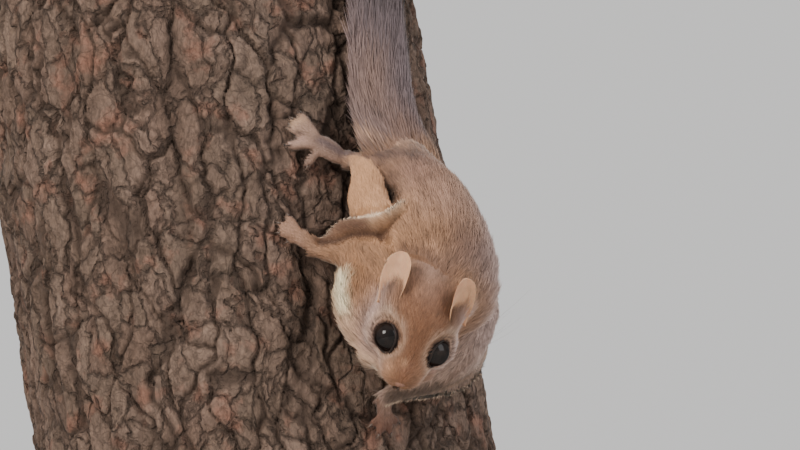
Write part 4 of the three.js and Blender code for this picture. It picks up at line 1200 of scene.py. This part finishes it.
# The coat's pieces: the parts of the body that each covers, rings to the hair, and material slot.
MOST_TRIANGLES = 190000
COAT_PIECES = {
    "coat_back": (["torso"], 2, "fur_back"),
    "coat_throat": (["neck"], 2, "fur_throat"),
    "coat_head": (["head"], 1, "fur_head"),
    "coat_legs": ([name for name in REGIONS if "leg" in name], 2, "fur_back"),
    "coat_feet": (FEET, 1, "foot_fur"),
    "coat_right_membrane": (["membrane_right"], 2, "fur_cream"),
    "coat_left_membrane": (["membrane_left"], 2, "fur_back"),
    "coat_tail_underfur": (["tail"], 1, "fur_tail"),
}
for name, (nodes, rings, slot) in COAT_PIECES.items():
    chosen = np.flatnonzero(kept & np.isin(root_region, [REGIONS.index(n) for n in nodes]))
    triangles = 6 * rings - 2
    parts = max(1, math.ceil(len(chosen) / (MOST_TRIANGLES // triangles)))
    for part, own in enumerate(np.array_split(chosen, parts)):
        piece_name = name if parts == 1 else f"{name}_{part + 1}"
        piece = hair_piece(piece_name, roots[own], root_normals[own], root_lies[own], lengths[own],
                           widths[own], lifts[own], root_colours[own], root_unwrap[own], rings,
                           gather[own])
        piece.data.materials.append(fur_finish)
        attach(piece, "root")
        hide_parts(*nodes)


# Tail brush: long silky hairs that leave the tail's core along both edges and lie up the trunk, so
# that the tail is flat and wide. It narrows to a rounded tip and is darker towards its end.
TAIL_HAIRS = 24000
TAIL_STEPS = 400
BRUSH_HALF = 0.0168
BRUSH_ROUNDING = 0.84  # of the tail's length, where its end begins to round
tail_reach = np.linalg.norm(np.diff(tail_line, axis=0), axis=1).sum()
tail_end = 1 + 0.0128 / tail_reach
tail_frames = [along_tail(k / (TAIL_STEPS - 1)) for k in range(TAIL_STEPS)]
tail_middles, tail_runs = (np.array([f[k] for f in tail_frames]) for k in (0, 1))


def along_brush(shares_along):
    """The brush's middle, outward way and sideways at shares of its length, past its core too."""
    step = np.round(np.clip(shares_along, 0, 1) * (TAIL_STEPS - 1)).astype(int)
    run = tail_runs[step]
    middle = tail_middles[step] + run * (np.maximum(shares_along - 1, 0) * tail_reach)[:, None]
    out = unit(middle * np.array([1, 1, 0]))
    out = unit(out - run * (out * run).sum(1, keepdims=True))
    return middle, out, np.cross(out, run)


def brush_half(shares_along):
    """Half the width and half the thickness of the brush at shares of its length."""
    past = np.clip((shares_along - BRUSH_ROUNDING) / (tail_end - BRUSH_ROUNDING), 0, 1)
    rounding = np.sqrt(1 - past**2)
    wide = BRUSH_HALF * narrowing(np.clip(shares_along, 0, 1)) * rounding
    return wide, (0.0062 - 0.0018 * shares_along) * rounding


def in_brush(shares_along, outwards, turn, over):
    """Places in the brush at shares of its length and of its half width, turned round its middle."""
    middle, out, sideways = along_brush(shares_along)
    wide, thick = brush_half(shares_along)
    across = sideways * (wide * outwards * np.cos(turn))[:, None]
    return middle + across + out * (thick * outwards * over)[:, None], out, sideways


def unwrap_below(points):
    """The place on the unwrapped skin that lies nearest below each point."""
    faces = [hide_tree.find_nearest(p)[2] for p in points.tolist()]
    return skin_unwrap[[skin.data.polygons[face].loop_start for face in faces]]


place_on_tail = draw.random(TAIL_HAIRS)
turn = draw.uniform(-0.4, math.pi + 0.4, TAIL_HAIRS)
beneath = draw.random(TAIL_HAIRS) < 0.12
turn[beneath] = draw.uniform(0, 2 * math.pi, beneath.sum())
over = np.where(np.sin(turn) < 0, 0.7, 1.0) * np.sin(turn)
root_share = draw.uniform(0.4, 0.82, TAIL_HAIRS)
tail_places, out, sideways = in_brush(place_on_tail, root_share, turn, over)
tail_normals = unit(sideways * (0.35 * np.cos(turn))[:, None] + out * np.sin(turn)[:, None])
length = np.minimum(0.015 * draw.uniform(0.7, 1.12, TAIL_HAIRS),
                    (tail_end - place_on_tail) * tail_reach * draw.uniform(0.82, 0.99, TAIL_HAIRS))
tip_place = place_on_tail + 0.97 * length / tail_reach
tip_share = np.clip(root_share + 0.2 + draw.normal(0, 0.06, TAIL_HAIRS), 0.5, 1.04)
tail_tips = in_brush(tip_place, tip_share, turn, over)[0]
course = tail_tips - tail_places
rising = (course * tail_normals).sum(1)
tail_lies = course - tail_normals * rising[:, None]
length = np.linalg.norm(tail_lies, axis=1)
tail_lift = np.degrees(np.arctan(np.clip(rising / length / 0.5, -0.5, 0.6)))
tail_lies = unit(tail_lies)
tail_unwrap = unwrap_below(tail_places)
tail_shares = np.zeros((TAIL_HAIRS, len(REGIONS)))
from_rump = smooth_step(0.2, 0.06, place_on_tail)
tail_shares[:, REGIONS.index("tail")] = 1 - from_rump
tail_shares[:, REGIONS.index("torso")] = from_rump
tail_colours = marked(tail_places, tail_normals, tail_shares)
tuft, tail_gather = tufted(tail_places, tail_normals, np.full(TAIL_HAIRS, 0.0024), np.full(TAIL_HAIRS, 0.3))
tuft_tone = draw.normal(1, 0.05, tuft.max() + 1)
tail_tick = draw.normal(1, 0.11, TAIL_HAIRS) * tuft_tone[tuft]
tail_tick *= np.where(draw.random(TAIL_HAIRS) < 0.14, 0.7, 1)
tail_colours = tail_colours * tail_tick[:, None]
from_axis = [np.hypot(points[:, 0], points[:, 1]) for points in (tail_places, tail_tips)]
tail_kept = np.minimum(*from_axis) > BARK_RADIUS - 0.0002
for part, own in enumerate(np.array_split(np.flatnonzero(tail_kept), 2)):
    piece = hair_piece(f"coat_tail_{part + 1}", tail_places[own], tail_normals[own], tail_lies[own],
                       length[own], 0.0004 * draw.uniform(0.7, 1.25, len(own)), tail_lift[own],
                       tail_colours[own], tail_unwrap[own], 2, tail_gather[own], bend=0.5, drift=0.05)
    piece.data.materials.append(fur_finish)
    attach(piece, "root")
    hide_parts("tail")


# Eyes: large, wet and almost black, each a ball with a slightly bulging front. Dark bare
# lids close round them, drawn out to a point at the nose side.
eye_finish = finish_of("wet_eye", 0.07)
eye_depths = grain(eye_finish, 240, 3)
wire(eye_finish, Base_Color=ramp(eye_finish, eye_depths, [
    (0.35, (0.004, 0.003, 0.003, 1)),
    (0.7, (0.016, 0.010, 0.008, 1)),
]))
eye_facing = put(eye_finish, "LayerWeight", {"Blend": 0.5}).outputs["Facing"]
wire(eye_finish, Specular_IOR_Level=ramp(eye_finish, eye_facing, [
    (0.15, (0.2, 0.2, 0.2, 1)),
    (0.6, (0.01, 0.01, 0.01, 1)),
]))
lid_finish = finish_of("eyelid_skin", 0.6, Specular_IOR_Level=0.2)
lid_grain = grain(lid_finish, 1800, 4)
wire(lid_finish, Base_Color=ramp(lid_finish, lid_grain, [(0.3, tint(22, 16, 14)), (0.7, tint(42, 31, 27))]))
wire(lid_finish, Normal=bump(lid_finish, lid_grain, 0.0002, 0.5))

LID_RADIUS = 0.00456
LID_THICKNESS = 0.00036

for name, side in SIDES:
    eye = EYES[name]
    look = look_of(side)
    forwards = (NOSEWARDS - look * NOSEWARDS.dot(look)).normalized()
    upwards = look.cross(forwards)
    turning = Matrix((forwards, upwards, look)).transposed().to_4x4()
    bpy.ops.object.select_all(action="DESELECT")
    bpy.ops.mesh.primitive_uv_sphere_add(segments=48, ring_count=28, radius=EYE_RADIUS)
    ball = bpy.context.object
    ball.name = f"eye_{name}_ball"
    for corner in ball.data.vertices:
        front = max(0, corner.co.z / EYE_RADIUS - 0.55)
        corner.co *= 1 + 0.05 * front
    ball.data.transform(Matrix.Translation(eye) @ turning)
    ball.data.shade_smooth()
    ball.data.materials.append(eye_finish)
    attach(ball, "root")
    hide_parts(f"eye_{name}")

    bpy.ops.object.select_all(action="DESELECT")
    bpy.ops.mesh.primitive_torus_add(major_segments=64, minor_segments=14,
                                     major_radius=LID_RADIUS, minor_radius=LID_THICKNESS)
    lid = bpy.context.object
    lid.name = f"eyelid_{name}"
    for corner in lid.data.vertices:
        angle = math.atan2(corner.co.y, corner.co.x)
        corner_pull = math.exp(-((angle / 0.34) ** 2))
        corner.co.x += 0.0009 * corner_pull
        corner.co.z += 0.00155 - 0.0005 * corner_pull
        corner.co.xy = corner.co.xy * (1 + 0.015 * math.cos(2 * angle))
    lid.data.transform(Matrix.Translation(eye) @ turning)
    lid.data.shade_smooth()
    lid.data.materials.append(lid_finish)
    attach(lid, "root")
    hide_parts("head")


# Ears: thin bare cups of skin on a narrow base, open forwards and outwards, with a rolled rim and
# faint veins. Fine down covers them.
ear_finish = finish_of("ear_skin", 0.55, Specular_IOR_Level=0.35, Subsurface_Weight=0.35,
                       Subsurface_Scale=0.0012)
ear_finish.node_tree.nodes["Principled BSDF"].inputs["Subsurface Radius"].default_value = (1, 0.45, 0.3)
ear_tone = ramp(ear_finish, grain(ear_finish, 170, 4), [
    (0.3, tint(172, 132, 102)),
    (0.55, tint(188, 146, 114)),
    (0.75, tint(178, 136, 106)),
])
veins = put(ear_finish, "TexVoronoi", {
    "Vector": put(ear_finish, "TexCoord").outputs["Object"], "Scale": 330.0, "Randomness": 1.0,
}, feature="DISTANCE_TO_EDGE").outputs["Distance"]
vein_share = ramp(ear_finish, veins, [(0.0, (0.22, 0.22, 0.22, 1)), (0.05, (0, 0, 0, 1))])
wire(ear_finish, Base_Color=blend(ear_finish, vein_share, ear_tone, tint(166, 116, 98)))
wire(ear_finish, Normal=bump(ear_finish, grain(ear_finish, 1400, 5), 0.0002, 0.4))

EAR_LENGTH = 0.017
EAR_HALF = 0.005
EAR_THICKNESS = 0.00062
EAR_LEVELS = 30
EAR_STEPS = 22
EAR_WRAP = (88, 34)  # degrees that half the ear wraps round, at its root and at its tip
DOWN_HAIRS = 1500


def lofted(name, shape):
    """A finished piece from a mesh of lofted forms, with its faces outwards."""
    bmesh.ops.recalc_face_normals(shape, faces=shape.faces)
    made = bpy.data.meshes.new(name)
    shape.to_mesh(made)
    shape.free()
    made.shade_smooth()
    return put_in_scene(name, made)


for name, side in SIDES:
    axis = ear_axis(name, side)
    opening = NOSEWARDS * 0.55 + CROWNWARDS * 0.5 + RIGHTWARDS * (0.6 * side)
    opening = (opening - axis * opening.dot(axis)).normalized()
    across = axis.cross(opening)
    ear_root = in_head(-1.8, 11.3 * side, 6.2)
    sections = []
    for i in range(EAR_LEVELS + 1):
        rise = math.sin(0.5 * math.pi * i / EAR_LEVELS)
        taper = math.sqrt(1 - (max(0, rise - 0.62) / 0.39) ** 2.6)
        spread = 0.74 + 0.26 * min(1, rise / 0.45)
        half = EAR_HALF * taper * spread
        wrap = math.radians(EAR_WRAP[0] + (EAR_WRAP[1] - EAR_WRAP[0]) * math.sqrt(rise))
        radius = half / math.sin(wrap)
        middle = ear_root + axis * (EAR_LENGTH * rise - 0.002)
        middle += opening * (radius - 0.0022 - 0.0016 * rise * rise)
        thick = EAR_THICKNESS * (1 - 0.35 * rise)
        section = []
        for layer in (0, 1):
            for j in range(EAR_STEPS + 1):
                across_share = j / EAR_STEPS if layer == 0 else 1 - j / EAR_STEPS
                turn = wrap * (2 * across_share - 1)
                rim = 1 - abs(2 * across_share - 1) ** 8
                roll = 0.0003 * (1 - rim)
                inset = layer * (thick * (0.25 + 0.75 * rim))
                r = radius - 0.0002 - inset + (0 if layer else -roll * 0.3)
                fold = 0.00035 * math.sin(3 * math.pi * across_share) * math.exp(-((rise - 0.3) / 0.25) ** 2)
                p = middle - opening * ((r + fold) * math.cos(turn)) + across * (r * math.sin(turn))
                section.append(p)
        sections.append(section)
    cup = bmesh.new()
    loft_into(cup, sections)
    ear = lofted(f"ear_{name}_cup", cup)
    ear.data.materials.append(ear_finish)
    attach(ear, "root")
    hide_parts(f"ear_{name}")

    ear.data.calc_loop_triangles()
    corners = read(ear.data.vertices, "co", 3)[numbers(ear.data.loop_triangles, "vertices", 3)]
    across_face = np.cross(corners[:, 1] - corners[:, 0], corners[:, 2] - corners[:, 0])
    area = np.linalg.norm(across_face, axis=1)
    picked = draw.choice(len(area), DOWN_HAIRS, p=area / area.sum())
    weights = draw.dirichlet((1, 1, 1), DOWN_HAIRS)
    down_roots = (corners[picked] * weights[:, :, None]).sum(1)
    down_tone = pigment((176, 136, 106)) * draw.uniform(0.75, 1.2, (DOWN_HAIRS, 1))
    down_lengths = 0.0011 * draw.uniform(0.6, 1.2, DOWN_HAIRS)
    down_lifts = draw.uniform(8, 24, DOWN_HAIRS)
    down = hair_piece(f"ear_{name}_down", down_roots, unit(across_face[picked]),
                      np.tile(np.array(axis), (DOWN_HAIRS, 1)), down_lengths, np.full(DOWN_HAIRS, 0.0001),
                      down_lifts, down_tone, unwrap_below(down_roots), 1, np.zeros((DOWN_HAIRS, 3)))
    down.data.materials.append(fur_finish)
    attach(down, "root")
    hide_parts(f"ear_{name}")


# Nose: a small bare moist pad at the tip of the muzzle with two comma-shaped nostrils.
bpy.ops.object.select_all(action="DESELECT")
bpy.ops.mesh.primitive_uv_sphere_add(segments=56, ring_count=36, radius=1)
nose = bpy.context.object
nose.name = "nose_pad"
PAD_RIGHT, PAD_UP, PAD_AHEAD = 1.75, 1.35, 1.3  # half sizes in mm
for corner in nose.data.vertices:
    right, up, ahead = corner.co.x * PAD_RIGHT, corner.co.y * PAD_UP, corner.co.z * PAD_AHEAD
    for side in (1, -1):
        gap = math.hypot((right - 0.95 * side) / 0.55, (up + 0.25) / 0.38)
        ahead -= 0.75 * math.exp(-(gap**2)) * (corner.co.z > 0)
    ahead -= 0.3 * math.exp(-((right / 0.22) ** 2)) * (corner.co.z > 0) * (up < 0.4)
    corner.co = in_head(20.25 + ahead, right, -2.7 + up)
nose.data.update()
nose_finish = finish_of("nose_leather", 0.42, Specular_IOR_Level=0.5)
nose_grain = grain(nose_finish, 2400, 4)
wire(nose_finish, Base_Color=ramp(nose_finish, nose_grain, [
    (0.3, tint(104, 70, 56)),
    (0.7, tint(138, 98, 78)),
]))
wire(nose_finish, Normal=bump(nose_finish, nose_grain, 0.00025, 0.7))
nose.data.shade_smooth()
nose.data.materials.append(nose_finish)
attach(nose, "root")
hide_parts("head")


# Claws: sharp curved horn hooks, one at the end of each toe, mottled dark and paler.
claw_finish = finish_of("claw_horn", 0.35, Specular_IOR_Level=0.5)
horn = grain(claw_finish, 900, 4, (1, 1, 0.3))
wire(claw_finish, Base_Color=ramp(claw_finish, horn, [(0.3, tint(46, 36, 32)), (0.7, tint(96, 80, 70))]))
CLAW_THICKNESS = 0.00045
CLAW_BEND = 0.0015
claw_rings = bmesh.new()
for palm_spot, tips in TOES.values():
    palm = by_trunk(*palm_spot)
    for around, up, plump in tips:
        tip = by_trunk(around, 1.1 * plump, up)
        outwards = Vector((tip.x, tip.y, 0)).normalized()
        ahead = tip - palm
        ahead = (ahead - outwards * ahead.dot(outwards)).normalized()
        sideways = outwards.cross(ahead)
        sections = []
        for k in range(7):
            s = k / 6
            bow = 1.75 * s
            reach = 0.0008 + CLAW_BEND * math.sin(bow)
            middle = tip + ahead * reach + outwards * (CLAW_BEND * (math.cos(bow) - 0.75))
            thick = CLAW_THICKNESS * (1 - s) ** 0.8 + 0.00004
            lean = (ahead * math.cos(bow) - outwards * math.sin(bow)).normalized()
            rise = lean.cross(sideways)
            sections.append([
                middle + sideways * (0.7 * thick * math.cos(a)) + rise * (1.15 * thick * math.sin(a))
                for a in np.linspace(0, 2 * math.pi, 8, endpoint=False).tolist()
            ])
        loft_into(claw_rings, sections)
claws = lofted("claws", claw_rings)
claws.data.materials.append(claw_finish)
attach(claws, "root")
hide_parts(*TOES)


# Whiskers: long stiff tapered bristles in rows on both lip pads, each rooted in the skin and bent
# back past the cheek.
whisker_finish = finish_of("whisker_bristle", 0.4, Specular_IOR_Level=0.4)
wire(whisker_finish, Base_Color=ramp(whisker_finish, grain(whisker_finish, 300, 2), [
    (0.35, tint(78, 62, 54)),
    (0.7, tint(126, 104, 92)),
]))
BRISTLE_THICKNESS = 0.00005
# Three rows of five on each side: the place of each root in the head, and its length in mm.
whisker_rows = [
    (16.4 - 1.5 * back, 4.0 + 0.4 * back, -2.8 - 0.95 * row, 26 - 3.5 * row + 2 * back)
    for row in range(3) for back in range(5)
]
bristles = bmesh.new()
for _, side in SIDES:
    for ahead, right, up, reach in whisker_rows:
        root = in_head(ahead, right * side, up)
        reach = reach * draw.uniform(0.85, 1.1) / 1000
        course = (RIGHTWARDS * (1.0 * side) - NOSEWARDS * draw.uniform(0.25, 0.75)
                  + CROWNWARDS * (0.16 * (up + 4) + draw.uniform(-0.12, 0.12))).normalized()
        sag = (-NOSEWARDS * 0.45 - CROWNWARDS * 0.15) * reach
        across = course.cross(CROWNWARDS).normalized()
        lifted = course.cross(across)
        sections = []
        for k in range(9):
            s = k / 8
            middle = root + course * (reach * s) + sag * (s * s)
            thick = BRISTLE_THICKNESS * (1 - s) + 0.00001
            sections.append([
                middle + across * (thick * math.cos(a)) + lifted * (thick * math.sin(a))
                for a in (0, 2.094, 4.189)
            ])
        loft_into(bristles, sections)
whiskers = lofted("whiskers", bristles)
whiskers.data.materials.append(whisker_finish)
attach(whiskers, "root")
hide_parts("head")


# Studio: a plain pale floor, soft light all round, a large soft lamp high on the left and a weaker
# one on the right, and the camera a little below the animal, rolled as the picture is.
bpy.ops.object.select_all(action="DESELECT")
bpy.ops.mesh.primitive_circle_add(vertices=64, radius=6, fill_type="NGON", location=(0, 0, 0))
floor = bpy.context.object
floor.name = "studio_floor"
floor_finish = finish_of("pale_floor", 0.8)
wire(floor_finish, Base_Color=ramp(floor_finish, grain(floor_finish, 3, 3), [
    (0.3, (0.62, 0.61, 0.59, 1)),
    (0.7, (0.66, 0.65, 0.63, 1)),
]))
floor.data.materials.append(floor_finish)

room = bpy.data.worlds.new("studio")
bpy.context.scene.world = room
room.use_nodes = True
room.node_tree.nodes["Background"].inputs["Color"].default_value = (0.93, 0.92, 0.91, 1)
room.node_tree.nodes["Background"].inputs["Strength"].default_value = 0.85


def soft_lamp(name, place, aim, size, power, colour):
    lamp = bpy.data.lights.new(name, "AREA")
    lamp.size = size
    lamp.energy = power
    lamp.color = colour
    holder = put_in_scene(name, lamp)
    holder.location = place
    holder.rotation_euler = (Vector(aim) - Vector(place)).to_track_quat("-Z", "Y").to_euler()


soft_lamp("key_lamp", (-0.55, -0.95, 0.85), (0.04, -0.08, 0.15), 0.5, 20.0, (1, 0.95, 0.88))
soft_lamp("fill_lamp", (1.1, -0.7, 0.4), (0.04, -0.08, 0.15), 0.9, 8.5, (0.95, 0.97, 1))
soft_lamp("back_lamp", (0.3, 1.2, 0.9), (0.0, 0.0, 0.15), 0.8, 5.0, (1, 1, 1))

LOOKING_UP = math.radians(7)
ROLL = math.radians(10)
DISTANCE = 0.8
AIM = Vector((0.0596, -BARK_RADIUS, 0.1482))
forwards = Vector((0, math.cos(LOOKING_UP), math.sin(LOOKING_UP)))
level_right = Vector((1, 0, 0))
level_top = level_right.cross(forwards)
to_right = level_right * math.cos(ROLL) - level_top * math.sin(ROLL)
to_top = level_right * math.sin(ROLL) + level_top * math.cos(ROLL)
lens = bpy.data.cameras.new("camera")
lens.sensor_width = 36
lens.lens = 112.5
lens.clip_start = 0.01
camera = put_in_scene("camera", lens)
stance = Matrix((to_right, to_top, -forwards)).transposed().to_4x4()
stance.translation = AIM - forwards * DISTANCE
camera.matrix_world = stance
bpy.context.scene.camera = camera
